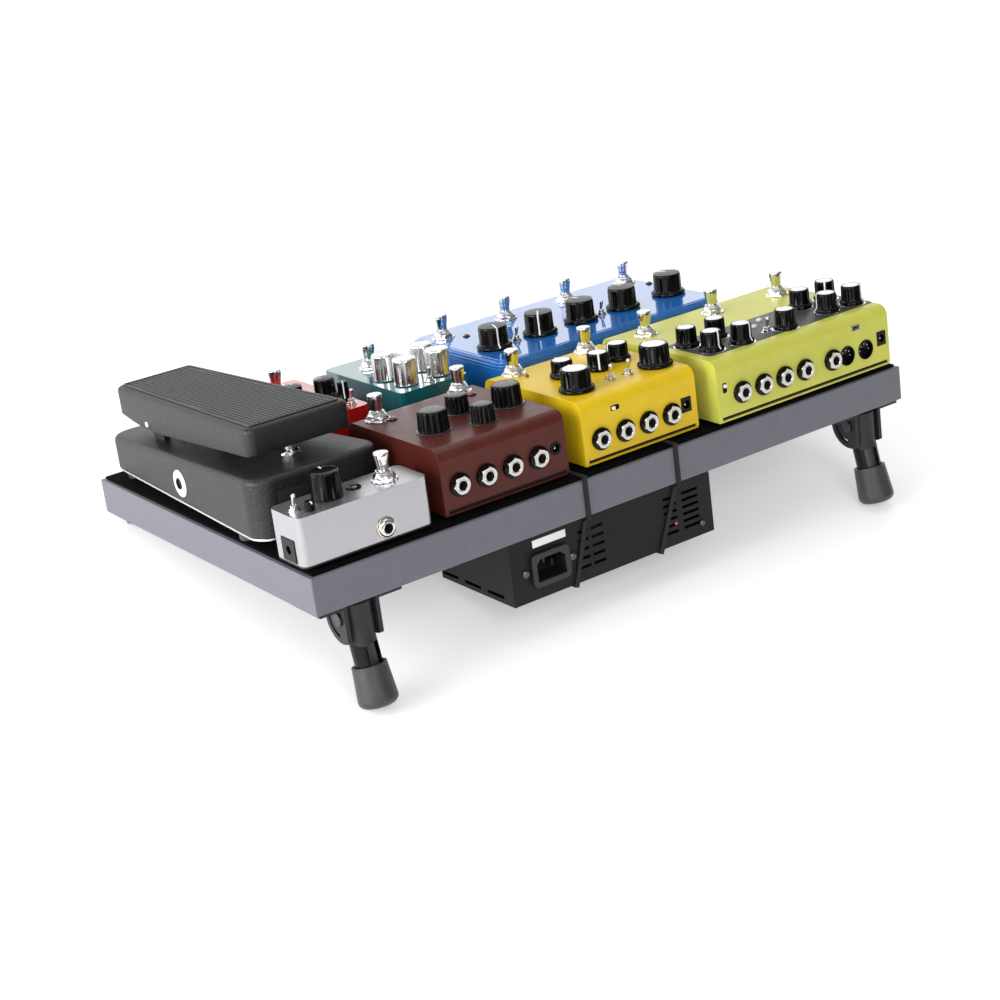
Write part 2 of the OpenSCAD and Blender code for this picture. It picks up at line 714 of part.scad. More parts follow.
jack_hole_r = 4.9;
switch_hole_r = 6.1;
toggle_hole_r = 2.6;
knob_shaft_r = 3;
shaft_hole_r = knob_shaft_r + run_fit;

module front_holes(places, r) {
    for (p = places)
        translate([p[0], -1, p[1]]) rotate([-90, 0, 0]) cylinder(r = r, h = 8);
}

module top_holes(places, top, r) {
    for (p = places)
        translate([p[0], p[1], top - 8]) cylinder(r = r, h = 10);
}

module silver_case() {
    color("silver") on_deck() at_pedal(silver_at) difference() {
        cast_case(silver_size, 5);
        front_holes(silver_jack_at, jack_hole_r);
        top_holes([silver_switch_at], silver_size[2], switch_hole_r);
        top_holes(silver_toggle_at, silver_size[2], toggle_hole_r);
        translate([-1, power_y - 8.5, 2]) cube([4, 17, 16]);
    }
}

module red_case() {
    color("firebrick") on_deck() at_pedal(red_at) difference() {
        cast_case(red_size, 5);
        top_holes([red_switch_at], red_size[2], switch_hole_r);
        top_holes(red_toggle_at, red_size[2], toggle_hole_r);
    }
}

module teal_case() {
    color("teal") on_deck() at_pedal(teal_at) difference() {
        cast_case(teal_size, 4);
        top_holes([teal_switch_at], teal_size[2], switch_hole_r);
        top_holes(teal_toggle_at, teal_size[2], toggle_hole_r);
    }
}

module brown_case() {
    color([0.3, 0.13, 0.12]) on_deck() at_pedal(brown_at) difference() {
        folded_case(brown_size);
        front_holes(brown_jack_at, jack_hole_r);
        front_holes([[93, 21.5]], 4.6);
        top_holes(brown_switch_at, brown_size[2], switch_hole_r);
        top_holes(brown_knob_at, brown_size[2], shaft_hole_r);
    }
}

module yellow_case() {
    color("gold") on_deck() at_pedal(yellow_at) difference() {
        folded_case(yellow_size);
        front_holes(yellow_jack_at, jack_hole_r);
        front_cutout([92.1, 20], 9, 11);
        front_cutout(yellow_slider_at, slider_w, slider_h);
        top_holes(yellow_switch_at, yellow_size[2], switch_hole_r);
        top_holes(yellow_toggle_at, yellow_size[2], toggle_hole_r);
        top_holes(yellow_knob_at, yellow_size[2], shaft_hole_r);
    }
}

module green_case() {
    color("yellowgreen") on_deck() at_pedal(green_at) difference() {
        folded_case(green_size);
        front_holes(green_jack_at, jack_hole_r);
        front_holes(midi_at, midi_r + 0.1);
        front_cutout([163.1, 22], 9, 11);
        front_cutout(green_slider_at, slider_h, slider_w);
        front_cutout(data_slot_at, data_w, data_h);
        top_holes(green_switch_at, green_size[2], switch_hole_r);
        top_holes(green_toggle_at, green_size[2], toggle_hole_r);
    }
}

module blue_case() {
    color("royalblue") on_deck() at_pedal(blue_at) difference() {
        bevelled_case(blue_size, 10, 6);
        top_holes(blue_switch_at, blue_size[2], switch_hole_r);
        top_holes(blue_toggle_at, blue_size[2], toggle_hole_r);
    }
}

// Flat base plate under a case
module flat_plate(at, size, r) {
    at_pedal(at) upright_box([size[0], size[1], plate_t], r);
}

module pedal_base_plates() {
    color("dimgray") on_deck() {
        flat_plate(silver_at, silver_size, 5);
        flat_plate(red_at, red_size, 5);
        flat_plate(teal_at, teal_size, 4);
        flat_plate(blue_at, blue_size, 10);
        flat_plate(brown_at, brown_size, 1.2);
        flat_plate(yellow_at, yellow_size, 1.2);
        flat_plate(green_at, green_size, 1.2);
    }
}

// ---------- fittings in the panels ----------
// Quarter-inch socket: nut and washer outside, threaded bush, housing inside
socket_r = 3.2;
socket_l = 24;

module quarter_inch_socket(wall) {
    difference() {
        union() {
            translate([0, 0, 0.02]) cylinder(r = 8, h = 0.8);
            translate([0, 0, 0.8]) cylinder(r = 6.6, h = 2.2, $fn = 6);
            translate([0, 0, -wall - 2]) cylinder(r = 4.6, h = wall + 6);
            translate([-6.5, -6.5, -wall - 21]) cube([13, 13, 20.9]);
        }
        translate([0, 0, 4 - socket_l]) cylinder(r = socket_r, h = socket_l + 1);
    }
}

module front_sockets(at, places, wall) {
    at_pedal(at) for (p = places)
        translate([p[0], 0, p[1]]) rotate([90, 0, 0]) quarter_inch_socket(wall);
}

module jack_sockets() {
    color("silver") on_deck() {
        front_sockets(silver_at, silver_jack_at, 2.2);
        front_sockets(brown_at, brown_jack_at, case_t);
        front_sockets(yellow_at, yellow_jack_at, case_t);
        front_sockets(green_at, green_jack_at, case_t);
        translate([wah_jack_x, wah_jack_at[0], wah_jack_at[1]])
            rotate([0, -90, atan((wah_toe_w - wah_heel_w) / 2 / wah_l) * -1]) quarter_inch_socket(wah_wall);
    }
}

midi_at = [[127.4, 17.5], [146.5, 17.5]];
yellow_slider_at = [29.6, 35.5];
green_slider_at = [7, 25.4];
data_slot_at = [137.8, 36.5];
slider_w = 7;
slider_h = 3.4;
data_w = 8;
data_h = 4.4;
midi_r = 7.3;

// Rectangular opening in a near face
module front_cutout(at, w, h) {
    translate([at[0] - w / 2, -1, at[1] - h / 2]) cube([w, 5, h]);
}

// Slide switch: a body in the cut-out with its thumb piece standing out
module slide_switch(at, turn) {
    translate([at[0], 0, at[1]]) rotate([90, 0, 0]) rotate([0, 0, turn]) {
        translate([-slider_w / 2 + 0.1, -slider_h / 2 + 0.1, -6])
            cube([slider_w - 0.2, slider_h - 0.2, 6.2]);
        translate([-2.6, -1, 0]) cube([2.2, 2, 2.2]);
    }
}

// Flat data socket: a thin shell with a tongue
module data_socket(at) {
    translate([at[0], 0, at[1]]) rotate([90, 0, 0]) {
        difference() {
            translate([-data_w / 2 + 0.1, -data_h / 2 + 0.1, -9]) cube([data_w - 0.2, data_h - 0.2, 9.3]);
            translate([-data_w / 2 + 0.8, -data_h / 2 + 0.8, -8]) cube([data_w - 1.6, data_h - 1.6, 10]);
        }
        translate([2 - data_w / 2, -0.5, -8.5]) cube([data_w - 4, 1, 6.5]);
    }
}

// Low-voltage socket: a block with a barrel hole and its centre pin
module power_socket(w, h) {
    difference() {
        translate([-w / 2, -h / 2, -8]) cube([w, h, 8.6]);
        translate([0, 0, -6]) cylinder(r = 2.9, h = 10);
    }
    translate([0, 0, -6.5]) cylinder(r = 1, h = 5.5);
}

module midi_socket() {
    difference() {
        translate([0, 0, -10]) cylinder(r = midi_r, h = 10.6);
        translate([0, 0, -7]) cylinder(r = midi_r - 0.8, h = 10);
    }
    for (a = [0:45:180])
        translate([4.6 * cos(a), 4.6 * sin(a) - 0.5, -7.5]) cylinder(r = 0.7, h = 4.5);
}

module lamps(at, places, top) {
    at_pedal(at) for (p = places)
        translate([p[0], p[1], top]) rotate_extrude()
            polygon(concat([[0, 0], [1.5, 0]], arc([0, 0.2], 1.5, 0, 90)));
}

module panel_fittings() {
    color([0.07, 0.07, 0.07]) on_deck() {
        at_pedal(silver_at) translate([0, power_y, 10]) rotate([0, -90, 0]) power_socket(15.6, 16.6);
        at_pedal(brown_at) translate([93, 0, 21.5]) rotate([90, 0, 0]) difference() {
            translate([0, 0, -9]) cylinder(r = 4.5, h = 9.6);
            translate([0, 0, -6]) cylinder(r = 2.9, h = 10);
        }
        at_pedal(yellow_at) {
            translate([92.1, 0, 20]) rotate([90, 0, 0]) power_socket(8.8, 10.8);
            slide_switch(yellow_slider_at, 0);
        }
        at_pedal(green_at) {
            slide_switch(green_slider_at, -90);
            data_socket(data_slot_at);
            translate([163.1, 0, 22]) rotate([90, 0, 0]) power_socket(8.8, 10.8);
            for (p = midi_at)
                translate([p[0], 0, p[1]]) rotate([90, 0, 0]) midi_socket();
        }
        lamps(brown_at, brown_lamp_at, brown_size[2]);
        lamps(yellow_at, yellow_lamp_at, yellow_size[2]);
        lamps(green_at, green_lamp_at, green_size[2]);
        lamps(blue_at, blue_lamp_at, blue_size[2]);
        lamps(silver_at, silver_lamp_at, silver_size[2]);
    }
}

// ---------- footswitches ----------
button_r = 4;
bush_h = 8;
button_h = 19;

// Washer, nut and threaded bush over the panel, switch housing under it
module switch_bush(panel) {
    difference() {
        union() {
            translate([0, 0, 0.02]) cylinder(r = 8.6, h = 0.9);
            translate([0, 0, 0.9]) cylinder(r = 8, h = 2.4, $fn = 6);
            translate([0, 0, -panel - 1]) cylinder(r = 6, h = panel + 1 + bush_h);
            translate([-8.5, -6, -panel - 14]) cube([17, 12, 13.9]);
        }
        translate([0, 0, -10]) cylinder(r = button_r + 0.3, h = 40);
    }
}

module button() {
    rotate_extrude() polygon(concat(
        [[0, -4], [button_r, -4], [button_r, button_h - 6], [5.2, button_h - 4.5]],
        arc([4.2, button_h - 1], 1, 0, 90), [[0, button_h]]));
}

module top_bushes(at, places, top, panel) {
    at_pedal(at) for (p = places)
        translate([p[0], p[1], top]) switch_bush(panel);
}

// Toggle switch: bush with a socket for the lever's ball
toggle_ball_r = 1.5;
toggle_pivot = 2.6;                 // height of the ball's middle over the panel

module toggle_bush() {
    difference() {
        union() {
            translate([0, 0, 0.02]) cylinder(r = 3.6, h = 1.6, $fn = 6);
            translate([0, 0, -6]) cylinder(r = 2.5, h = 10);
        }
        translate([0, 0, toggle_pivot - toggle_ball_r]) cylinder(r = toggle_ball_r + 0.3, h = 6);
    }
}

module toggle_bushes(at, places, top) {
    at_pedal(at) for (p = places)
        translate([p[0], p[1], top]) toggle_bush();
}

module switch_bushings() {
    color("silver") on_deck() {
        top_bushes(silver_at, [silver_switch_at], silver_size[2], 2.2);
        top_bushes(red_at, [red_switch_at], red_size[2], 2.2);
        top_bushes(teal_at, [teal_switch_at], teal_size[2], 2.2);
        top_bushes(brown_at, brown_switch_at, brown_size[2], case_t);
        top_bushes(yellow_at, yellow_switch_at, yellow_size[2], case_t);
        top_bushes(green_at, green_switch_at, green_size[2], case_t);
        top_bushes(blue_at, blue_switch_at, blue_size[2], 2.4);
        translate([toe_at[0], toe_at[1], wah_top(toe_at[1])]) difference() {
            union() {
                translate([0, 0, 0.8]) cylinder(r = 8, h = 2.4, $fn = 6);
                translate([0, 0, -6]) cylinder(r = 6, h = 13);
                translate([-7, -8.5, -20]) cube([14, 17, 14.1]);
            }
            translate([0, 0, -12]) cylinder(r = toe_button_r + 0.3, h = 40);
        }
        toggle_bushes(silver_at, silver_toggle_at, silver_size[2]);
        toggle_bushes(red_at, red_toggle_at, red_size[2]);
        toggle_bushes(teal_at, teal_toggle_at, teal_size[2]);
        toggle_bushes(yellow_at, yellow_toggle_at, yellow_size[2]);
        toggle_bushes(green_at, green_toggle_at, green_size[2]);
        toggle_bushes(blue_at, blue_toggle_at, blue_size[2]);
    }
}

module wah_toe_button() {
    color("silver") on_deck() translate([toe_at[0], toe_at[1], wah_top(toe_at[1])])
        rotate_extrude() polygon(concat([[0, -8], [toe_button_r, -8], [toe_button_r, toe_button_h - 1]],
            arc([toe_button_r - 1, toe_button_h - 1], 1, 0, 90), [[0, toe_button_h]]));
}

module footswitch(at, size, p) {
    color("gainsboro") on_deck() at_pedal(at) translate([p[0], p[1], size[2]]) button();
}

module silver_switch() { footswitch(silver_at, silver_size, silver_switch_at); }
module red_switch() { footswitch(red_at, red_size, red_switch_at); }
module teal_switch() { footswitch(teal_at, teal_size, teal_switch_at); }

// ---------- knobs ----------
// Skirted knob with a pointer groove; one that turns stands clear of the panel on a shaft
module knob(r, h, shaft) {
    knob_gap = shaft ? 0.4 : 0;
    difference() {
        union() {
            translate([0, 0, knob_gap]) rotate_extrude() polygon(concat(
                [[0, 0], [r, 0], [r, 2.2], [r * 0.86, 3.4]],
                arc([r * 0.78 - 1, h - knob_gap - 1], 1, 0, 90), [[0, h - knob_gap]]));
            if (shaft) translate([0, 0, -7]) cylinder(r = knob_shaft_r, h = 10);
        }
        translate([-0.5, -r - 1, h - 0.5]) cube([1, r + 1, 1]);
    }
}

// Plain turned metal knob on a narrower foot
module turned_knob(r, h) {
    rotate_extrude() polygon(concat([[0, 0], [r * 0.8, 0], [r * 0.8, 1.6], [r, 2]],
        arc([r - 1, h - 1], 1, 0, 90), [[0, h]]));
}

module panel_knob(at, size, p, shaft = true) {
    on_deck() at_pedal(at) translate([p[0], p[1], size[2]]) knob(p[2], p[3], shaft);
}

module toggle_lever(at, size, p) {
    at_pedal(at) translate([p[0], p[1], size[2] + toggle_pivot]) rotate([14, 0, 0]) {
        sphere(r = toggle_ball_r);
        cylinder(r1 = 1.1, r2 = 1.5, h = 8.2, $fn = 24);
        translate([0, 0, 8.2]) sphere(r = 1.5);
    }
}

module fixed_knobs() {
    color([0.08, 0.08, 0.08]) {
        for (p = green_knob_at) panel_knob(green_at, green_size, p, false);
        for (p = blue_knob_at) panel_knob(blue_at, blue_size, p, false);
        for (p = red_knob_at) panel_knob(red_at, red_size, p, false);
        for (p = silver_knob_at) panel_knob(silver_at, silver_size, p, false);
    }
}

module chrome_controls() {
    color("gainsboro") {
        on_deck() {
            at_pedal(teal_at) for (p = teal_knob_at)
                translate([p[0], p[1], teal_size[2]]) turned_knob(p[2], p[3]);
            for (p = yellow_toggle_at) toggle_lever(yellow_at, yellow_size, p);
            for (p = green_toggle_at) toggle_lever(green_at, green_size, p);
            for (p = blue_toggle_at) toggle_lever(blue_at, blue_size, p);
            for (p = teal_toggle_at) toggle_lever(teal_at, teal_size, p);
            for (p = silver_toggle_at) toggle_lever(silver_at, silver_size, p);
            for (p = red_toggle_at) toggle_lever(red_at, red_size, p);
        }
    }
}

// ---------- the model ----------
deck_tray();
deck_carpet();
hook_strips();
rubber_feet();
leg_brackets();
screws_and_bolts();
psu_case();
psu_cover();
psu_inlet();
psu_transformer();
psu_straps();
wah_base();
wah_base_plate();
wah_axle();
wah_pot();
silver_case();
red_case();
brown_case();
teal_case();
yellow_case();
blue_case();
green_case();
pedal_base_plates();
jack_sockets();
panel_fittings();
switch_bushings();
fixed_knobs();
chrome_controls();
wah_treadle();
wah_tread_mat();
wah_rack();
wah_pinion();
wah_toe_button();
leg_left();
leg_right();
leg_foot_left();
leg_foot_right();
silver_switch();
red_switch();
teal_switch();
for (i = [0:1])
    footswitch(brown_at, brown_size, brown_switch_at[i]);
for (i = [0:1])
    footswitch(yellow_at, yellow_size, yellow_switch_at[i]);
for (i = [0:2])
    footswitch(green_at, green_size, green_switch_at[i]);
for (i = [0:3])
    footswitch(blue_at, blue_size, blue_switch_at[i]);
for (i = [0:3])
    color([0.08, 0.08, 0.08]) panel_knob(brown_at, brown_size, brown_knob_at[i]);
for (i = [0:4])
    color([0.08, 0.08, 0.08]) panel_knob(yellow_at, yellow_size, yellow_knob_at[i]);
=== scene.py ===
import json
import math

import bmesh
import bpy
from mathutils import Matrix, Vector


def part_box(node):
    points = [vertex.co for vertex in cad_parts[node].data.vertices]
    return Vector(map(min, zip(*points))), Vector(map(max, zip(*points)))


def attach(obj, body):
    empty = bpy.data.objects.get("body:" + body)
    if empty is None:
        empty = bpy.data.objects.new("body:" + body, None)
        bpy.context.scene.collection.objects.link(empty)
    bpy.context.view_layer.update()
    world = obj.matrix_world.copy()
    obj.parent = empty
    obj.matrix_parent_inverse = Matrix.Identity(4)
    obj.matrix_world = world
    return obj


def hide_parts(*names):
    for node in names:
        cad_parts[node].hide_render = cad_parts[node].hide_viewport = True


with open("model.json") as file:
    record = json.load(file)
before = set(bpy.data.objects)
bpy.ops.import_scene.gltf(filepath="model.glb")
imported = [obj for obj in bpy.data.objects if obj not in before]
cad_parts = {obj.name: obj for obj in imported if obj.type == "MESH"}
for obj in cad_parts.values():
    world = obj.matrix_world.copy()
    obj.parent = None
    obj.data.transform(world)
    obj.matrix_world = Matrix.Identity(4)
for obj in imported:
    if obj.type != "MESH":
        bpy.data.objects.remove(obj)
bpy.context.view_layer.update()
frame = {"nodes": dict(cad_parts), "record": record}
nodes = frame["nodes"]
mounts = {m["name"]: m for m in frame["record"]["mounts"]}

# ---------- deck coordinates, mm: X along the rails, Y to the far rail, Z square to the deck ----------
U = Vector((1, 0, 0))
W = Vector(mounts["carpet"]["axis"])
V = W.cross(U)
CARPET = (242, 133, 2)                  # the carpet mount's place on the deck
ORIGIN = Vector(mounts["carpet"]["pos_m"]) - (CARPET[0] * U + CARPET[1] * V + CARPET[2] * W) / 1000
DECK = Matrix.Translation(ORIGIN) @ Matrix((U, V, W)).transposed().to_4x4() @ Matrix.Scale(0.001, 4)


def at(x=0, y=0, z=0, rx=0, ry=0, rz=0):
    """Placement in the deck frame, mm and degrees."""
    m = Matrix.Translation((x, y, z))
    for ang, ax in ((rz, "Z"), (ry, "Y"), (rx, "X")):
        if ang:
            m = m @ Matrix.Rotation(math.radians(ang), 4, ax)
    return m


# ---------- mesh building ----------
class Shape:
    """Collects lofted rings, in mm in the deck frame."""

    def __init__(self):
        self.v, self.f, self.m = [], [], []

    def loft(self, rings, place=None, mat=0, close=True):
        place = place or Matrix.Identity(4)
        base, n = len(self.v), len(rings[0])
        for r in rings:
            self.v.extend(place @ Vector(p) for p in r)
        last = len(rings) if not close else len(rings) - 1
        for k in range(last):
            a0, b0 = base + k * n, base + ((k + 1) % len(rings)) * n
            for i in range(n):
                j = (i + 1) % n
                self.f.append((a0 + i, a0 + j, b0 + j, b0 + i))
                self.m.append(mat)
        if close:
            self.f.append(tuple(range(base + n - 1, base - 1, -1)))
            self.f.append(tuple(range(base + (len(rings) - 1) * n, base + len(rings) * n)))
            self.m += [mat, mat]
        return self

    def turned(self, profile, place=None, n=40, mat=0, wobble=None, ring=False):
        """A profile of (radius, height) turned about Z. wobble(angle, radius, height) changes the radius;
        ring joins the profile's end to its start, for a piece with a hole through it."""
        rings = []
        for r, z in profile:
            ring = []
            for i in range(n):
                a = 2 * math.pi * i / n
                q = max(r, 0.001)
                if wobble:
                    q = wobble(a, q, z)
                ring.append((q * math.cos(a), q * math.sin(a), z))
            rings.append(ring)
        return self.loft(rings, place, mat=mat, close=not ring)

    def box(self, x0, y0, z0, x1, y1, z1, place=None, r=0.3, mat=0):
        """Box with rounded edges."""
        return self.loft(block_rings(x1 - x0, y1 - y0, z1 - z0, r, r), (place or Matrix.Identity(4)) @ at(x0, y0, z0),
                         mat=mat)


def arc(cx, cy, r, a0, a1, n=5):
    return [(cx + r * math.cos(math.radians(a0 + (a1 - a0) * i / n)),
             cy + r * math.sin(math.radians(a0 + (a1 - a0) * i / n))) for i in range(n + 1)]


def rounded(w, d, r, inset=0.0, n=5):
    """Rounded outline with its near left corner at the origin, moved inwards by inset."""
    q = max(r - inset, 0.05)
    x0, y0, x1, y1 = inset, inset, w - inset, d - inset
    return (arc(x1 - q, y0 + q, q, -90, 0, n) + arc(x1 - q, y1 - q, q, 0, 90, n)
            + arc(x0 + q, y1 - q, q, 90, 180, n) + arc(x0 + q, y0 + q, q, 180, 270, n))


def tapered(w0, w1, length, r, inset=0.0, n=6):
    """Outline centred on X = 0 that narrows from w0 to w1, moved inwards by inset."""
    lead = math.degrees(math.atan((w0 - w1) / 2 / length))
    q = max(r - inset, 0.05)
    h0, h1 = w0 / 2 - inset, w1 / 2 - inset
    y0, y1 = inset, length - inset
    return (arc(h0 - q, y0 + q, q, -90, lead, n) + arc(h1 - q, y1 - q, q, lead, 90, n)
            + arc(-h1 + q, y1 - q, q, 90, 180 - lead, n) + arc(-h0 + q, y0 + q, q, 180 - lead, 270, n))


def fillet(r, n=4):
    """(inset, drop) pairs round an edge, from the wall to the face."""
    return [(r * (1 - math.cos(math.radians(90 * i / n))), r * (1 - math.sin(math.radians(90 * i / n))))
            for i in range(n + 1)]


def block_rings(w, d, h, r, edge, n=3):
    rings = []
    for inset, drop in reversed(fillet(edge, n)):
        rings.append([(x, y, drop) for x, y in rounded(w, d, r + edge, inset, n)])
    for inset, drop in fillet(edge, n):
        rings.append([(x, y, h - drop) for x, y in rounded(w, d, r + edge, inset, n)])
    return rings


def emit(name, shape, mats, body, replaces=(), sharp=38, bevel=None):
    """Makes the piece from a shape in the deck frame and hangs it on its body."""
    mesh = bpy.data.meshes.new(name)
    mesh.from_pydata([DECK @ p for p in shape.v], [], shape.f)
    mesh.polygons.foreach_set("material_index", shape.m)
    bm = bmesh.new()
    bm.from_mesh(mesh)
    bmesh.ops.recalc_face_normals(bm, faces=bm.faces)
    bm.to_mesh(mesh)
    bm.free()
    mesh.polygons.foreach_set("use_smooth", [True] * len(mesh.polygons))
    mesh.set_sharp_from_angle(angle=math.radians(sharp))
    for m in (mats if isinstance(mats, (list, tuple)) else [mats]):
        mesh.materials.append(m)
    obj = bpy.data.objects.new(name, mesh)
    bpy.context.scene.collection.objects.link(obj)
    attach(obj, body)
    if replaces:
        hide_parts(*([replaces] if isinstance(replaces, str) else replaces))
    if bevel:
        soften(obj, bevel, weld=False)
    return obj


def soften(obj, width, segments=2, angle=35, weld=True):
    """Small rounding on an object's edges, width in mm."""
    if weld:
        w = obj.modifiers.new("weld", "WELD")
        w.merge_threshold = 0.00001
    b = obj.modifiers.new("edges", "BEVEL")
    b.width = width / 1000
    b.segments = segments
    b.limit_method = "ANGLE"
    b.angle_limit = math.radians(angle)
    b.harden_normals = False
    n = obj.modifiers.new("normals", "WEIGHTED_NORMAL")
    n.keep_sharp = True
    n.weight = 80
    return obj


# ---------- materials ----------
def surface(name, color, rough=0.5, metallic=0.0, vary=0.12, scale=60.0, bump=0.0, bump_scale=900.0, rough_vary=0.08,
            coat=0.0, coat_rough=0.05, spec=0.5, kind="noise"):
    """Principled material whose colour, roughness and relief vary by object-space noise; scales are per metre."""
    m = bpy.data.materials.new(name)
    m.use_nodes = True
    nt = m.node_tree
    b = nt.nodes["Principled BSDF"]
    b.inputs["Metallic"].default_value = metallic
    b.inputs["Specular IOR Level"].default_value = spec
    b.inputs["Coat Weight"].default_value = coat
    b.inputs["Coat Roughness"].default_value = coat_rough
    tc = nt.nodes.new("ShaderNodeTexCoord")
    mp = nt.nodes.new("ShaderNodeMapping")
    nt.links.new(tc.outputs["Object"], mp.inputs["Vector"])
    tone = nt.nodes.new("ShaderNodeTexNoise")
    tone.inputs["Scale"].default_value = scale
    tone.inputs["Detail"].default_value = 4.0
    nt.links.new(mp.outputs["Vector"], tone.inputs["Vector"])
    ramp = nt.nodes.new("ShaderNodeValToRGB")
    dark = [c * (1 - vary) for c in color]
    lite = [min(1.0, c * (1 + vary)) for c in color]
    ramp.color_ramp.elements[0].position = 0.3
    ramp.color_ramp.elements[0].color = (*dark, 1)
    ramp.color_ramp.elements[1].position = 0.7
    ramp.color_ramp.elements[1].color = (*lite, 1)
    nt.links.new(tone.outputs["Fac"], ramp.inputs["Fac"])
    nt.links.new(ramp.outputs["Color"], b.inputs["Base Color"])
    mr = nt.nodes.new("ShaderNodeMapRange")
    mr.inputs["To Min"].default_value = max(0.02, rough - rough_vary)
    mr.inputs["To Max"].default_value = min(1.0, rough + rough_vary)
    nt.links.new(tone.outputs["Fac"], mr.inputs["Value"])
    nt.links.new(mr.outputs["Result"], b.inputs["Roughness"])
    if bump:
        if kind == "cells":
            rel = nt.nodes.new("ShaderNodeTexVoronoi")
            rel.inputs["Scale"].default_value = bump_scale
            out = rel.outputs["Distance"]
        else:
            rel = nt.nodes.new("ShaderNodeTexNoise")
            rel.inputs["Scale"].default_value = bump_scale
            rel.inputs["Detail"].default_value = 3.0
            out = rel.outputs["Fac"]
        nt.links.new(mp.outputs["Vector"], rel.inputs["Vector"])
        bp = nt.nodes.new("ShaderNodeBump")
        bp.inputs["Strength"].default_value = bump
        bp.inputs["Distance"].default_value = 0.0005
        nt.links.new(out, bp.inputs["Height"])
        nt.links.new(bp.outputs["Normal"], b.inputs["Normal"])
    return m


M = {
    "rail": surface("rail_coat", (0.125, 0.127, 0.150), 0.42, 0.0, 0.05, 90, 0.12, 5000, spec=0.5),
    "carpet": surface("loop_carpet", (0.0028, 0.0028, 0.0030), 0.95, 0, 0.4, 700, 1.0, 1600, kind="cells",
                      spec=0.05),
    "tape": surface("hook_tape", (0.012, 0.012, 0.012), 0.9, 0, 0.3, 600, 0.8, 2000),
    "rubber": surface("foot_rubber", (0.036, 0.036, 0.040), 0.42, 0, 0.2, 120, 0.25, 1800),
    "leg": surface("leg_paint", (0.024, 0.024, 0.026), 0.42, 0, 0.15, 100, 0.1, 3000, spec=0.25),
    "zinc": surface("zinc_plate", (0.62, 0.62, 0.64), 0.32, 1.0, 0.1, 200, 0.05, 900),
    "dark_zinc": surface("dark_screws", (0.10, 0.10, 0.105), 0.28, 1.0, 0.1, 200, 0.05, 900),
    "red_glow": surface("red_lamp", (0.70, 0.010, 0.015), 0.15, 0, 0.05, 300, coat=1.0),
    "supply": surface("supply_coat", (0.010, 0.010, 0.011), 0.5, 0, 0.15, 80, 0.35, 3500, spec=0.2),
    "inlet": surface("inlet_plastic", (0.012, 0.012, 0.013), 0.35, 0, 0.2, 150, 0.08, 2500),
    "copper": surface("winding", (0.055, 0.030, 0.016), 0.45, 0.3, 0.3, 900, 0.5, 1400),
    "elastic": surface("elastic_weave", (0.007, 0.007, 0.008), 0.55, 0, 0.25, 900, 0.5, 2600, spec=0.35),
    "crinkle": surface("crinkle_black", (0.009, 0.009, 0.0095), 0.44, 0, 0.35, 400, 1.0, 560, spec=0.50),
    "plate": surface("bright_plate", (0.66, 0.66, 0.67), 0.28, 1.0, 0.08, 160, 0.05, 1200),
    "can": surface("pot_can", (0.45, 0.45, 0.46), 0.35, 1.0, 0.1, 160, 0.05, 1200),
    "silver": surface("silver_satin", (0.46, 0.46, 0.48), 0.25, 0.85, 0.02, 120, 0.02, 3000, rough_vary=0.02),
    "red": surface("red_gloss", (0.50, 0.010, 0.010), 0.22, 0, 0.06, 60, 0.02, 900, coat=1.0, coat_rough=0.06),
    "brown": surface("brown_satin", (0.080, 0.015, 0.0105), 0.36, 0.0, 0.12, 70, 0.04, 2500, spec=0.22,
                     coat=0.08, coat_rough=0.2),
    "teal": surface("teal_gloss", (0.006, 0.120, 0.145), 0.16, 0, 0.10, 60, 0.02, 700, coat=1.0),
    "yellow": surface("yellow_satin", (0.68, 0.465, 0.010), 0.34, 0, 0.05, 70, 0.05, 2500, spec=0.32),
    "blue": surface("blue_gloss", (0.016, 0.155, 0.500), 0.12, 0, 0.08, 50, 0.02, 500, coat=1.0, coat_rough=0.03),
    "green": surface("green_satin", (0.52, 0.52, 0.085), 0.34, 0, 0.05, 70, 0.05, 2500, spec=0.32),
    "base": surface("base_black", (0.020, 0.020, 0.020), 0.5, 0, 0.2, 100, 0.1, 2500),
    "nickel": surface("nickel", (0.60, 0.58, 0.54), 0.16, 1.0, 0.10, 260, 0.03, 900, rough_vary=0.05),
    "inlay": surface("inlay_paint", (0.050, 0.050, 0.053), 0.42, 0, 0.15, 200, 0.06, 2500),
    "chrome": surface("chrome", (0.74, 0.74, 0.74), 0.17, 1.0, 0.06, 260, 0.02, 900, rough_vary=0.04),
    "brass": surface("gold_nut", (0.80, 0.66, 0.42), 0.15, 1.0, 0.06, 260, 0.03, 900),
    "black": surface("black_plastic", (0.0015, 0.0015, 0.0017), 0.12, 0, 0.2, 120, 0.02, 1800, spec=0.20),
    # near-black matte paint on plugs and sheets in socket bores, the wah's toe recess and the base-plate slots: painted
    # shade of holes
    "pit_shade": surface("painted_pit_shade", (0.003, 0.003, 0.003), 0.8, 0, 0.2, 200),
    "white": surface("white_line", (0.80, 0.80, 0.78), 0.45, 0, 0.03, 200),
    "mat": surface("tread_rubber", (0.026, 0.026, 0.028), 0.44, 0, 0.2, 250, 0.25, 2200),
    "nylon": surface("nylon", (0.75, 0.72, 0.62), 0.45, 0, 0.05, 120, 0.1, 1500),
    "red_lens": surface("red_lens", (0.12, 0.004, 0.008), 0.10, 0, 0.1, 300, coat=1.0),
    "spun": surface("spun_cap", (0.085, 0.085, 0.088), 0.26, 0.8, 0.08, 300, 0.05, 2500),
    "cap": surface("silver_cap", (0.80, 0.80, 0.80), 0.36, 0.75, 0.05, 300, 0.05, 2500),
    "dome": surface("grey_dome", (0.040, 0.040, 0.042), 0.36, 0, 0.12, 300, 0.1, 2500),
    "clear_lens": surface("clear_lens", (0.62, 0.64, 0.62), 0.12, 0, 0.05, 300, coat=1.0),
}

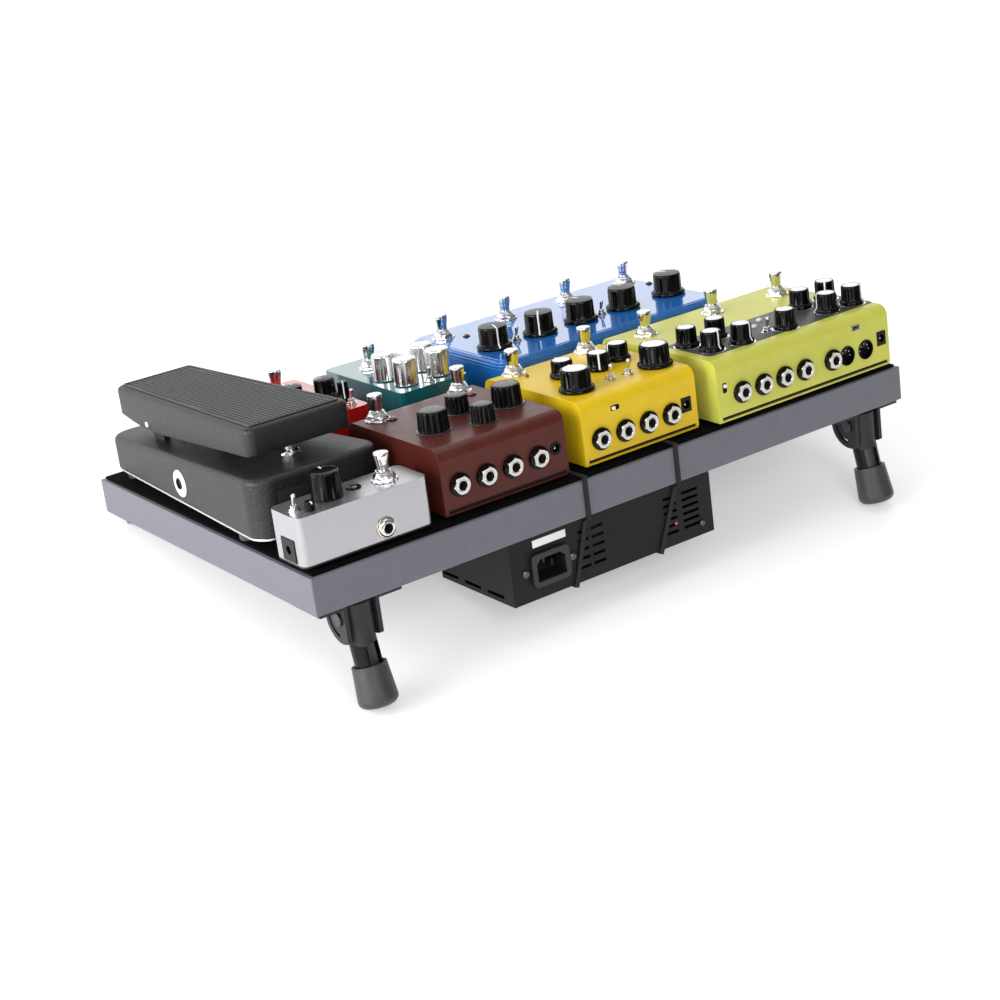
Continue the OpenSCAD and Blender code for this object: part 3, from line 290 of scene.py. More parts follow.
# ---------- pedals: near left corners and sizes, as in the CAD ----------
BASE = 4.0
PEDAL = {
    "silver": ((0.8, 7), (98, 37, 34)), "red": ((100.5, 171), (56, 112, 38)), "teal": ((174.5, 154.7), (59, 112, 43)),
    "brown": ((109.8, 9.7), (102, 114, 46)), "yellow": ((226.5, 9.9), (102, 114, 46)),
    "green": ((341.2, 1.7), (171, 130, 46)), "blue": ((256, 142), (217, 130, 46)),
}


def on(pedal, x, y, z=0.0, top=True):
    (px, py), (_, _, h) = PEDAL[pedal]
    return at(px + x, py + y, BASE + z + (h if top else 0))


def front(pedal, x, z):
    """Placement on a pedal's near face, with Z pointing out of it."""
    (px, py), _ = PEDAL[pedal]
    return at(px + x, py, BASE + z, rx=90)


# ---------- controls ----------
def nut(shape, place, r, z0, z1, bore, mat=0, turn=0):
    """Hexagon nut with chamfered corners round a bore; r is the corner radius."""
    flat = r * math.cos(math.pi / 6)
    chamfer = 0.4
    prof = [(bore, z0), (r * 0.93, z0), (r, z0 + chamfer), (r, z1 - chamfer), (r * 0.89, z1), (bore, z1)]
    shape.turned(prof, place @ at(rz=turn), 48, mat, ring=True,
                 wobble=lambda a, q, z: min(q, flat / math.cos(a % (math.pi / 3) - math.pi / 6)))


def threaded(shape, place, r, z0, z1, bore, pitch=0.8, mat=0):
    """Threaded tube round a bore."""
    prof = [(r - 0.4, z0)]
    z = z0
    while z < z1 - pitch:
        prof += [(r - 0.25, z + 0.05), (r, z + pitch * 0.35), (r, z + pitch * 0.6), (r - 0.25, z + pitch * 0.95)]
        z += pitch
    prof += [(r - 0.1, z1 - 0.3), (r - 0.4, z1), (bore + 0.25, z1), (bore, z1 - 0.3), (bore, z0)]
    shape.turned(prof, place, 36, mat, ring=True)


def switch_bush(shape, place, turn=0):
    """Toothed washer, hexagon nut, conical dress nut and threaded bush round a footswitch."""
    def tooth(a, q, z):
        return q * (1 + 0.03 * math.copysign(1, math.sin(16 * a))) if q > 8 else q

    shape.turned([(5.9, 0.02), (8.9, 0.02), (9.0, 0.4), (8.8, 0.85), (5.9, 0.85)], place, 96, wobble=tooth, ring=True)
    nut(shape, place, 8.0, 0.8, 3.0, 5.0, turn=turn)
    shape.turned([(5.0, 2.95), (7.0, 2.95), (7.2, 3.2), (7.0, 3.7), (6.1, 5.0), (5.8, 5.3), (5.0, 5.3)], place, 40,
                 ring=True)
    threaded(shape, place, 5.6, 5.0, 6.6, 4.3)


def button(shape, place):
    shape.turned([(4.0, -4), (4.0, 9.4), (4.2, 9.9), (4.45, 11.6), (4.85, 13.8), (5.15, 15.3), (5.3, 16.2), (5.3, 18.2),
                  (5.15, 18.6), (4.8, 18.85), (4.2, 18.97), (0.01, 19.0)], place, 40)


def toggle_nut(shape, place, turn=0):
    shape.turned([(2.6, 0.02), (4.2, 0.02), (4.3, 0.25), (4.1, 0.5), (2.6, 0.5)], place, 36, ring=True)
    nut(shape, place, 3.7, 0.5, 1.9, 2.0, turn=turn)
    threaded(shape, place, 2.5, 1.8, 4.0, 1.5, pitch=0.5)


def lever(shape, place):
    tilt = place @ at(z=3.4, rx=14)
    shape.turned([(0.9, -0.6), (1.05, 0.6), (1.25, 4.0), (1.5, 6.4), (1.6, 7.2), (1.45, 7.8), (1.05, 8.25), (0.5, 8.42),
                  (0.01, 8.46)], tilt, 24)


def jack(ring, metal, pit_shade, place, turn=0):
    """Black collar, hexagon nut, threaded mouth and bore of a quarter-inch socket; the bore is a near-black plug,
    painted shade of the hole.
    """
    ring.turned([(4.6, 0.02), (7.9, 0.02), (8.05, 0.3), (8.05, 1.6), (7.8, 2.1), (7.2, 2.35), (4.6, 2.35)], place, 56,
                ring=True)
    nut(metal, place, 6.7, 2.3, 4.3, 3.9, turn=turn)
    mouth(metal, pit_shade, place, 4.2, 2.2, 4.75)


def mouth(metal, pit_shade, place, r, z0, z1):
    """Rim of a socket's bush, with two small driver slots, and the bore in it, a near-black plug of painted shade."""
    def slot(a, q, z):
        return q - (0.35 if q > 3.9 and abs(math.sin(a)) < 0.16 and z > z1 - 0.5 else 0)

    metal.turned([(3.25, z0), (r, z0), (r, z1 - 0.35), (r - 0.3, z1), (3.6, z1), (3.3, z1 - 0.25), (3.25, z1 - 0.6)],
                 place, 48, ring=True, wobble=slot)
    # near-black plug 0.9 mm below the rim: painted shade of the deep hole
    pit_shade.turned([(3.24, z1 - 0.9), (3.22, -14), (0.01, -14.0)], place, 32)


def domed_jack(rim, metal, pit_shade, place):
    """Polished domed nut with a gold rim, on the silver pedal's socket."""
    rim.turned([(5.6, 0.02), (7.0, 0.02), (7.15, 0.3), (7.0, 0.8), (6.4, 1.1), (5.6, 1.1)], place, 56, ring=True)
    metal.turned([(3.7, 0.1), (6.3, 0.9), (6.2, 1.5), (5.7, 2.3), (5.0, 2.8), (4.2, 3.0), (3.7, 3.0)], place, 56,
                 ring=True)
    mouth(metal, pit_shade, place, 3.95, 0.2, 3.5)


KNOBS_OF = {
    # style: flutes, depth of a flute, radius of the top, whether it has a skirt
    "brown": (13, 0.11, 0.93, False),
    "yellow": (12, 0.045, 0.82, True),
    "blue": (12, 0.018, 0.80, True),
    "square": (8, 0.075, 0.95, False),
    "chrome": (14, 0.018, 0.97, False),
}


def knob(body, cap, line, place, r, h, style):
    """Turned and fluted knob. The pointer line runs from the middle of the top down the near side."""
    gap = 0.35
    n, deep, ratio, skirted = KNOBS_OF[style]
    if style == "brown":
        cap.turned([(r * 0.8, 0.1), (r * 0.98, 0.1), (r, 0.4), (r * 0.97, 0.8), (r * 0.8, 0.9)], place, 60, ring=True)
        gap = 0.9
        r *= 0.87
    top = r * ratio
    low = 4.2 if skirted else 1.2

    def flute(a, q, z):
        if z < low or z > h - 0.9 or q < top * 0.9:
            return q
        return q * (1 - deep * (0.5 + 0.5 * math.cos(n * a)) ** 2)

    if skirted:
        foot = [(r * 0.90, gap), (r * 0.97, gap + 0.3), (r, gap + 0.9), (r * 0.995, gap + 1.7), (r * 0.96, gap + 2.5),
                (r * 0.91, gap + 3.0), (top * 1.04, gap + 3.4), (top * 1.02, 4.6)]
    else:
        foot = [(r * 0.96, gap), (r, gap + 0.5), (r * 0.995, 1.6)]
    side = [(top * 1.005, h - 1.6), (top * 0.99, h - 0.9), (top * 0.96, h - 0.35), (top * 0.91, h)]
    inset = {"yellow": 0.84, "blue": 0.96, "brown": 0.86, "square": 0.85, "chrome": 0.80}[style]
    well = [(top * inset, h), (top * (inset - 0.02), h - 0.3), (0.01, h - 0.3)]
    body.turned(foot + side + well, place, n * 10, wobble=flute)
    dome = {"yellow": 0.06, "blue": 0.7, "brown": 0.35, "square": 0.1, "chrome": 0.12}[style]
    rc = top * (inset - 0.03)
    cap.turned([(rc, h - 0.4), (rc, h - 0.05), (rc * 0.97, h + 0.04), (rc * 0.8, h + 0.04 + dome * 0.36),
                (rc * 0.5, h + 0.04 + dome * 0.75), (rc * 0.2, h + 0.04 + dome * 0.96), (0.01, h + 0.04 + dome)],
               place, 48)
    if style in ("yellow", "blue", "square"):
        half = 0.6 if r > 9 else 0.5
        out = top * 1.015
        side_line = [(-out, 4.7), (-out, h - 0.9), (-top * 0.965, h - 0.25), (-top * 0.90, h + 0.10)]
        if style == "blue":
            side_line += [(-rc * 0.8, h + 0.10 + dome * 0.36), (-rc * 0.5, h + 0.10 + dome * 0.75),
                          (-1.0, h + 0.1 + dome)]
        else:
            side_line += [(-rc * 0.55, h + 0.12 + dome)]
        if skirted:
            side_line = [(-r * 1.003, gap + 1.8), (-r * 0.965, gap + 2.6), (-r * 0.915, gap + 3.1)] + side_line
        ribbon(line, place, side_line, half, 0.07)


def ribbon(shape, place, path, half, thick):
    """Thin band along a path of (y, z), half its width each side of X = 0, standing off outwards."""
    rings = []
    for k, (y, z) in enumerate(path):
        (ya, za), (yb, zb) = path[max(k - 1, 0)], path[min(k + 1, len(path) - 1)]
        length = math.hypot(yb - ya, zb - za)
        ny, nz = -(zb - za) / length * thick, (yb - ya) / length * thick
        rings.append([(-half, y - ny, z - nz), (half, y - ny, z - nz), (half, y + ny, z + nz), (-half, y + ny, z + nz)])
    shape.loft(rings, place)


# ---------- wah ----------
WX, WY, WL = 49.5, 60.0, 251.0         # middle, toe end and length of the base
TOE_W, HEEL_W = 99, 80
AXLE_Y, AXLE_Z = 247, 52
TOE_SWITCH = (51, 99.5)


def wah_top(y):
    return 51 - 17 * (y - WY + 1) / (WL + 2)


def wah():
    base = Shape()
    rings = []
    for inset, lift in ((0.6, 0.0), (0.15, 0.3), (0.0, 0.8)):
        rings.append([(WX + x, WY + y, 10.0 + lift) for x, y in tapered(TOE_W, HEEL_W, WL, 16, inset, 8)])
    for inset, drop in fillet(4.2, 6):
        rings.append([(WX + x, WY + y, wah_top(WY + y) - drop) for x, y in tapered(TOE_W, HEEL_W, WL, 16, inset, 8)])
    base.loft(rings)
    for s in (-1, 1):
        ear = ([(AXLE_Y + 9, 34), (AXLE_Y + 7, AXLE_Z)] + arc(AXLE_Y, AXLE_Z, 7, 0, 180, 10)[1:]
               + [(AXLE_Y - 9, 34)])
        x0 = WX + s * 24
        prof = [[(x0 - 2.6, y, z) for y, z in ear], [(x0 + 2.6, y, z) for y, z in ear]]
        base.loft(prof)
    emit("wah_base_casting", base, M["crinkle"], "board", "wah_base", bevel=0.5)
    # near-black sheet on the base's toe end standing in for the recess there: painted shade
    recess = Shape()
    recess.box(WX - 33, WY - 0.25, 18, WX + 33, WY + 2, 40, r=0.6)
    emit("wah_toe_recess_shade", recess, M["pit_shade"], "board")

    tread = Shape()
    toe_y, heel_y = 77, 299
    skirt = [(toe_y, 61.5), (232, 47.5), (268, 48), (heel_y, 51.5)]

    def low(y):
        y = min(max(y, toe_y), heel_y)
        for (a, za), (b, zb) in zip(skirt, skirt[1:]):
            if y <= b:
                return za + (zb - za) * (y - a) / (b - a)
        return skirt[-1][1]

    def top(y):
        return 80.5 - 0.04 * (y - toe_y)

    def ring(inset, z):
        pts = densify(tapered(79, 64.5, heel_y - toe_y, 7, inset, 6))
        return [(WX + x, toe_y + y, z(toe_y + y)) for x, y in pts]

    rings = [ring(3.0, lambda y: top(y) - 3.6), ring(2.8, lambda y: low(y) + 1.0), ring(2.2, lambda y: low(y) + 0.1),
             ring(1.2, lambda y: low(y)), ring(0.3, lambda y: low(y) + 0.35), ring(0.0, lambda y: low(y) + 1.0)]
    for inset, drop in fillet(3.4, 6):
        rings.append(ring(inset, lambda y, d=drop: top(y) - d))
    tread.loft(rings)
    emit("wah_treadle_casting", tread, M["crinkle"], "treadle", "wah_treadle")

    mat = Shape()
    slope = math.atan(0.04)
    place = at(WX, toe_y + 5, 80.5 - 0.2) @ Matrix.Rotation(-slope, 4, "X")
    rings = []
    for inset, z in ((0.0, -1.0), (0.0, 0.9), (0.25, 1.15), (1.3, 1.15), (1.6, 0.9), (1.8, 0.25)):
        rings.append([(x, y, z) for x, y in tapered(69, 55.5, 212, 2.5, inset, 5)])
    mat.loft(rings, place)
    for i in range(-9, 10):
        x = i * 3.2
        y0, y1 = 3.0, 209.0
        half_at = lambda y: 34.5 - 6.75 * y / 212 - 2.4
        if abs(x) > half_at(y0):
            continue
        y1 = y1 if abs(x) + 0.8 <= half_at(y1) else max(y0 + 8, (34.5 - 2.4 - abs(x) - 0.8) / 6.75 * 212)
        rib = [[(x - 0.85, y0, 0.2), (x - 0.55, y0 + 0.3, 1.05), (x + 0.55, y0 + 0.3, 1.05), (x + 0.85, y0, 0.2)],
               [(x - 0.85, y1, 0.2), (x - 0.55, y1 - 0.3, 1.05), (x + 0.55, y1 - 0.3, 1.05), (x + 0.85, y1, 0.2)]]
        mat.loft(rib, place)
    emit("wah_ribbed_mat", mat, M["mat"], "treadle", "wah_tread_mat", sharp=30)
    # rubber stops under the treadle's toe
    bumps = Shape()
    for x in (-17.5, 17.5):
        bumps.turned([(3.2, 0), (3.4, 0.5), (3.4, 8), (0.01, 8)], at(WX + x, 103, top(103) - 21.5), 24)
    emit("wah_toe_stops", bumps, M["rubber"], "treadle")

    cap = Shape()
    cap.turned([(2.1, -1.0), (2.1, 0.5), (1.9, 0.75), (1.4, 0.9), (0.01, 0.9)],
               at(WX - 33.9, AXLE_Y, AXLE_Z, rz=-1.9) @ at(ry=-90), 28)
    emit("wah_axle_cap", cap, M["white"], "board")

    toe = at(*TOE_SWITCH, wah_top(TOE_SWITCH[1]))
    b = Shape()
    b.turned([(4, -8), (4, 17.6), (3.8, 18.6), (3.0, 19.2), (0.01, 19.3)], toe, 36)
    emit("toe_switch_button", b, M["chrome"], "toe_button", "wah_toe_button")


def densify(pts, gap=9.0):
    out = []
    for (x0, y0), (x1, y1) in zip(pts, pts[1:] + pts[:1]):
        n = max(1, int(math.hypot(x1 - x0, y1 - y0) // gap))
        out += [(x0 + (x1 - x0) * i / n, y0 + (y1 - y0) * i / n) for i in range(n)]
    return out


wah()

# ---------- footswitches ----------
SWITCHES = {
    "silver": [(76, 18)], "red": [(28, 88)], "teal": [(25, 83)], "brown": [(15, 97), (86.5, 101)],
    "yellow": [(18, 101), (84, 101)], "green": [(22, 103), (90, 105), (152, 99)],
    "blue": [(18, 106), (79, 106), (140, 106), (201, 106)],
}
bushes = Shape()
for pedal, places in SWITCHES.items():
    for i, (x, y) in enumerate(places):
        node = f"{pedal}_switch" if len(places) == 1 else f"{pedal}_switch_{i + 1}"
        place = on(pedal, x, y)
        switch_bush(bushes, place, turn=17 * (i + len(pedal)))
        b = Shape()
        button(b, place)
        emit(node + "_button", b, M["chrome"], node, node)
toe_place = at(*TOE_SWITCH, wah_top(TOE_SWITCH[1]))
nut(bushes, toe_place, 8.0, 0.6, 3.0, 4.6, turn=10)
threaded(bushes, toe_place, 6.0, -1, 4.0, 4.3)

# ---------- toggles ----------
TOGGLES = {"yellow": [(48.5, 26.5), (63.5, 25.5)], "green": [(74, 26)], "blue": [(45, 44), (128, 44)],
           "teal": [(30.5, 9)], "silver": [(8, 17)], "red": [(48, 12)]}
levers = Shape()
for pedal, places in TOGGLES.items():
    for i, (x, y) in enumerate(places):
        toggle_nut(bushes, on(pedal, x, y), turn=11 * i)
        lever(levers, on(pedal, x, y))
emit("switch_nuts_and_bushes", bushes, M["chrome"], "board", "switch_bushings", sharp=30)

# ---------- knobs ----------
KNOBS = {
    "brown": ("brown", [(25, 41, 12.6, 15), (58, 61, 9.8, 13), (56, 27, 9.8, 13), (88.5, 45, 12.6, 15)]),
    "yellow": ("yellow", [(34, 63, 9.6, 13), (19, 27, 13, 16.5), (60, 54.5, 9.6, 13), (83.5, 62, 9.6, 13),
                          (88, 25, 13, 16.5)]),
    "green": ("yellow", [(x, y, 9.2, 15) for x, y in ((17.5, 50), (45, 50), (20.5, 26), (45.5, 21.5), (88, 21), (133, 53),
                                                      (160.5, 54), (135.5, 26.5), (160.5, 25.5))]),
    "blue": ("blue", [(x, 43, 13.8, 17.5) for x in (23.5, 67, 107, 149.5, 196.5)]),
    "teal": ("chrome", [(x, y, 9.3, 20) for x, y in ((14.5, 43.8), (45.5, 40.5), (16.5, 18.2), (45.3, 17.8))]),
    "red": ("blue", [(45, 44, 9.8, 15), (50, 25.5, 5, 14), (25, 57, 9, 12)]),
    "silver": ("square", [(35, 21.3, 10.5, 18), (15, 9, 3.4, 6)]),
}
# how far each knob stands turned, degrees
TURNS = {"brown": (0, 20, -40, 10), "yellow": (180, 170, -33, -96, 190),
         "green": (180, 170, 3, 14, 185, 175, -42, -115, 25),
         "blue": (-16, -37, 180, 170, 190), "teal": (0, 11, 5, 17), "red": (-110, -25, 160), "silver": (170, 0)}
CAPS = {"yellow": "cap", "blue": "dome", "brown": "spun", "square": "black", "chrome": "cap"}
fixed = {style: (Shape(), Shape(), Shape()) for style in KNOBS_OF}
for pedal, (style, places) in KNOBS.items():
    for i, (x, y, r, h) in enumerate(places):
        place = on(pedal, x, y) @ at(rz=TURNS[pedal][i])
        if pedal in ("brown", "yellow"):
            b, c, l = Shape(), Shape(), Shape()
            knob(b, c, l, place, r, h, style)
            n = f"{pedal}_knob_{i + 1}"
            emit(n + "_body", b, M["black"], n, n)
            emit(n + "_cap", c, M[CAPS[style]], n)
            if l.v:
                emit(n + "_line", l, M["white"], n)
        else:
            knob(*fixed[style], place, r, h, style)
for style, (b, c, l) in fixed.items():
    if b.v and style != "chrome":
        emit(f"{style}_style_knobs", b, M["black"], "board", "fixed_knobs")
    if c.v:
        emit(f"{style}_style_caps", c, M[CAPS[style]], "board")
    if l.v:
        emit(f"{style}_style_lines", l, M["white"], "board")
# dark painted inlay and bright washers under the lime pedal's knobs
inlay, washers = Shape(), Shape()
inlay.loft([[(8 + x, 14 + y, z) for x, y in rounded(164, 50, 4, i)] for i, z in ((0, -0.2), (0, 0.18), (0.15, 0.25))],
           on("green", 0, 0))
for x, y, r, h in KNOBS["green"][1]:
    washers.turned([(r * 0.8, 0.2), (r * 1.10, 0.2), (r * 1.12, 0.32), (r * 1.08, 0.5), (r * 0.8, 0.55)],
                   on("green", x, y), 60, ring=True)
emit("green_inlay", inlay, M["inlay"], "board")
emit("green_knob_washers", washers, M["chrome"], "board")
emit("chrome_knobs", fixed["chrome"][0], M["chrome"], "board", "chrome_controls")
emit("toggle_levers", levers, M["chrome"], "board")

# ---------- sockets ----------
ring, metal, rim, dome, pit_shade = Shape(), Shape(), Shape(), Shape(), Shape()
for pedal, places in {"brown": [(13.6, 19.6), (35.2, 19.6), (56.6, 19.4), (78.1, 19.2)],
                      "yellow": [(14.9, 17), (36.1, 17), (57.1, 17), (78, 17)],
                      "green": [(22.7, 18.5), (43.2, 18.5), (63.8, 18.5), (84, 18.5), (112, 18.5)]}.items():
    for i, (x, z) in enumerate(places):
        jack(ring, metal, pit_shade, front(pedal, x, z), turn=9 * i + 5)
domed_jack(rim, dome, pit_shade, front("silver", 62, 9.5))
taper = (TOE_W - HEEL_W) / 2 / WL
lead = math.degrees(math.atan(taper))
jack_x = WX - TOE_W / 2 + (182 - WY) * taper
wah_side = at(jack_x, 182, 24, rz=-lead) @ at(ry=-90)
washer = Shape()
washer.turned([(4.3, 0.02), (9.6, 0.02), (9.9, 0.3), (9.6, 0.8), (4.3, 0.95)], wah_side, 56, ring=True)
emit("wah_jack_washer", washer, M["white"], "board")
mouth(ring, pit_shade, wah_side, 4.4, 0.2, 1.6)
emit("socket_collars", ring, M["black"], "board", "jack_sockets")
emit("socket_nuts", metal, M["nickel"], "board", sharp=30)
emit("silver_pedal_socket", dome, M["chrome"], "board", sharp=30)
emit("silver_pedal_socket_rim", rim, M["brass"], "board", sharp=30)
# near-black plugs in the socket bores: painted shade
emit("socket_bore_shades", pit_shade, M["pit_shade"], "board")

# ---------- small fittings in the panels ----------
fit_black, fit_grey, pins, thumbs = Shape(), Shape(), Shape(), Shape()


def squared(w, h):
    """Radius of a rectangle's outline at an angle, for the outer rings of a turned piece."""
    def wobble(a, q, z):
        if q < 3.2:
            return q
        c, s = abs(math.cos(a)), abs(math.sin(a))
        return q - 100 + min(w / 2 / max(c, 1e-6), h / 2 / max(s, 1e-6))
    return wobble


def power_socket(place, w, h):
    """Square face with a barrel hole and its centre pin. Radii from 100 follow the rectangle."""
    fit_black.turned([(100, -3), (100, 0.4), (99.8, 0.6), (3.1, 0.6), (2.9, 0.4), (2.9, -6), (0.01, -6)], place, 96,
                     wobble=squared(w, h))
    pins.turned([(1.0, -6), (1.0, -1.3), (0.8, -0.9), (0.01, -0.7)], place, 20)


def midi_socket(place):
    fit_black.turned([(7.5, -3), (7.5, 0.35), (7.3, 0.6), (6.8, 0.6), (6.6, 0.4), (6.6, -5), (0.01, -5)], place, 48)
    for a in (0, 45, 90, 135, 180):
        x, y = 4.6 * math.cos(math.radians(a)), 4.6 * math.sin(math.radians(a)) - 0.5
        pins.turned([(0.7, -5), (0.7, -1.8), (0.4, -1.4), (0.01, -1.35)], place @ at(x, y), 16)


def slide_switch(place):
    """Rounded black slot with a pale thumb piece at one end."""
    outline = lambda inset: [(x - 3.7, y - 1.9) for x, y in rounded(7.4, 3.8, 1.5, inset)]
    fit_black.loft([[(x, y, z) for x, y in outline(i)]
                    for i, z in ((0, -1), (0, 0.2), (0.15, 0.32), (0.45, 0.32), (0.5, -0.4))], place)
    thumbs.box(-2.7, -1.1, -0.6, -0.5, 1.1, 1.8, place, 0.15)


def data_socket(place):
    outline = lambda inset: [(x - 4, y - 2.1) for x, y in rounded(8, 4.2, 0.8, inset)]
    fit_grey.loft([[(x, y, z) for x, y in outline(i)]
                   for i, z in ((0, -2), (0, 0.3), (0.1, 0.4), (0.6, 0.4), (0.7, -4))], place)
    fit_black.box(-2.4, -0.5, -4, 2.4, 0.5, -0.3, place, 0.1)


power_socket(at(0.8, 7 + 17, BASE + 10) @ at(ry=-90), 15.6, 16.6)
power_socket(front("yellow", 92.1, 20), 8.8, 10.8)
power_socket(front("green", 163.1, 22), 8.8, 10.8)
barrel = front("brown", 93, 21.5)
fit_black.turned([(4.5, -3), (4.5, 0.3), (4.3, 0.55), (3.1, 0.55), (2.9, 0.3), (2.9, -6), (0.01, -6)], barrel, 40)
pins.turned([(1.0, -6), (1.0, -1.3), (0.8, -0.9), (0.01, -0.7)], barrel, 20)
for x in (127.4, 146.5):
    midi_socket(front("green", x, 17.5))
slide_switch(front("yellow", 29.6, 35.5))
slide_switch(front("green", 7, 25.4) @ at(rz=-90))
data_socket(front("green", 137.8, 36.5))

lens = {"dark": Shape(), "clear": Shape()}
bezels = Shape()


def lamp(place, r, kind, bezel=True):
    if bezel:
        bezels.turned([(r, 0.02), (r + 0.9, 0.02), (r + 0.95, 0.3), (r + 0.6, 0.7), (r, 0.7)], place, 36, ring=True)
    lens[kind].turned([(r, 0.0), (r, 0.7), (r * 0.92, 1.2), (r * 0.7, 1.7), (r * 0.4, 2.0), (0.01, 2.1)], place, 32)


for p, places, r, kind in (("brown", [(21.5, 88), (87.5, 87)], 2.6, "dark"),
                           ("yellow", [(19.5, 87), (84, 87)], 1.5, "dark"),
                           ("green", [(78, 44), (92, 54)], 2.4, "clear"), ("blue", [(30, 91), (210, 84)], 2.0, "dark")):
    for x, y in places:
        lamp(on(p, x, y), r, kind, bezel=p in ("brown", "blue"))
bezels.turned([(2.4, 0.02), (5.0, 0.02), (5.1, 0.4), (4.7, 0.9), (3.4, 0.5), (2.4, 0.3)], on("silver", 55, 22), 44,
              ring=True)
lens["dark"].turned([(2.4, 0.0), (2.3, 0.5), (1.4, 1.0), (0.01, 1.15)], on("silver", 55, 22), 32)
emit("panel_fittings_black", fit_black, M["black"], "board", "panel_fittings", sharp=30)
emit("data_socket_shell", fit_grey, M["can"], "board")
emit("socket_pins", pins, M["chrome"], "board")
emit("slide_thumbs", thumbs, M["white"], "board")
emit("lamp_bezels", bezels, M["black"], "board")
emit("dark_lenses", lens["dark"], M["red_lens"], "board")
emit("clear_lenses", lens["clear"], M["clear_lens"], "board")

# ---------- base plates: black under the cast cases, in the case's colour on the folded ones ----------
def plate_rings(w, d, r):
    profile = ((0.8, 0), (0.25, 0.25), (0.05, 0.7), (0.05, 1.35), (0.2, 1.5))
    return [[(x, y, z) for x, y in rounded(w, d, r, i)] for i, z in profile]


flat, shade = Shape(), Shape()
for p, r in (("silver", 5), ("red", 5), ("teal", 4), ("blue", 10)):
    _, (w, d, _) = PEDAL[p]
    flat.loft(plate_rings(w, d, r), on(p, 0, 0, top=False))
emit("flat_base_plates", flat, M["base"], "board", "pedal_base_plates")
for p in ("brown", "yellow", "green"):
    _, (w, d, _) = PEDAL[p]
    bar = Shape()
    bar.loft(plate_rings(w, d, 1.2), on(p, 0, 0, top=False))
    emit(p + "_base_plate", bar, M[p], "board")
    for y in (1.75, d - 2.25):
        shade.box(1.8, y, 1.55, w - 1.8, y + 0.5, 5.5, on(p, 0, 0, top=False), 0.1)
emit("slot_shades", shade, M["pit_shade"], "board")

# ---------- power supply: blank sticker, lamp ----------
label, spot = Shape(), Shape()
label.box(170, 3.75, -35.6, 198, 4.0, -30.2, r=0.05)
emit("blank_sticker", label, M["white"], "board")
spot.turned([(1.3, 0.0), (1.25, 0.4), (0.8, 0.75), (0.01, 0.85)], at(294, 4.0, -56.7, rx=90), 24)
emit("supply_lamp", spot, M["red_glow"], "board")

# ---------- carried-over CAD nodes: materials and edge rounding ----------
CAD = {
    "deck_tray": ("rail", 0.9), "deck_carpet": ("carpet", 0.4), "hook_strips": ("tape", 0), "rubber_feet": ("rubber", 0.5),
    "leg_brackets": ("leg", 0.4), "screws_and_bolts": ("dark_zinc", 0.2), "psu_case": ("supply", 0.5),
    "psu_cover": ("supply", 0.4), "psu_inlet": ("inlet", 0.4), "psu_transformer": ("copper", 0.3),
    "psu_straps": ("elastic", 0.25), "wah_base_plate": ("plate", 0.3), "wah_axle": ("zinc", 0.3), "wah_pot": ("can", 0.3),
    "silver_case": ("silver", 0.8), "red_case": ("red", 0.9), "brown_case": ("brown", 0.5), "teal_case": ("teal", 0.8),
    "yellow_case": ("yellow", 0.5), "blue_case": ("blue", 0.6), "green_case": ("green", 0.5),
    "wah_rack": ("nylon", 0),
    "wah_pinion": ("nylon", 0), "leg_left": (None, 0.4), "leg_right": (None, 0.4), "leg_foot_left": ("rubber", 0.4),
    "leg_foot_right": ("rubber", 0.4),
}
COLLAR_CUT = 0.0275                     # the black tube starts this far below the top of the leg, m


def collared_tube(name, cut):
    """Satin collar above the cut (object-space height in metres), glossy black tube below it."""
    m = surface(name, (0.028, 0.028, 0.030), 0.42, 0, 0.15, 100, 0.1, 3000, spec=0.22)
    nt = m.node_tree
    tc = nt.nodes.new("ShaderNodeTexCoord")
    split = nt.nodes.new("ShaderNodeSeparateXYZ")
    below = nt.nodes.new("ShaderNodeMath")
    below.operation = "LESS_THAN"
    below.inputs[1].default_value = cut
    nt.links.new(tc.outputs["Object"], split.inputs["Vector"])
    nt.links.new(split.outputs["Z"], below.inputs[0])
    # a and a + 1 are the mix node's two inputs of that kind
    for socket, kind, a, value in (("Base Color", "RGBA", 6, (0.004, 0.004, 0.0045, 1)),
                                   ("Roughness", "FLOAT", 2, 0.16)):
        target = nt.nodes["Principled BSDF"].inputs[socket]
        source = target.links[0].from_socket
        mix = nt.nodes.new("ShaderNodeMix")
        mix.data_type = kind
        nt.links.new(below.outputs["Value"], mix.inputs[0])
        nt.links.new(source, mix.inputs[a])
        mix.inputs[a + 1].default_value = value
        nt.links.new(mix.outputs[2 if kind == "RGBA" else 0], target)
    return m


for n, (m, width) in CAD.items():
    o = nodes[n]
    paint = M[m] if m else collared_tube(n + "_paint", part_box(n)[1][2] - COLLAR_CUT - o.matrix_world.translation.z)
    o.data.materials.clear()
    o.data.materials.append(paint)
    o.data.polygons.foreach_set("use_smooth", [True] * len(o.data.polygons))
    if width:
        soften(o, width, 3)

# ---------- floor, light, camera ----------
bpy.ops.mesh.primitive_plane_add(size=30)
floor = bpy.context.object
floor.name = "studio_floor"
paint = surface("studio_floor", (0.80, 0.80, 0.81), 0.85, 0, 0.01, 3)
paint.node_tree.nodes["Principled BSDF"].inputs["Emission Color"].default_value = (1, 1, 1, 1)
paint.node_tree.nodes["Principled BSDF"].inputs["Emission Strength"].default_value = 0.35
floor.data.materials.append(paint)

scene = bpy.context.scene


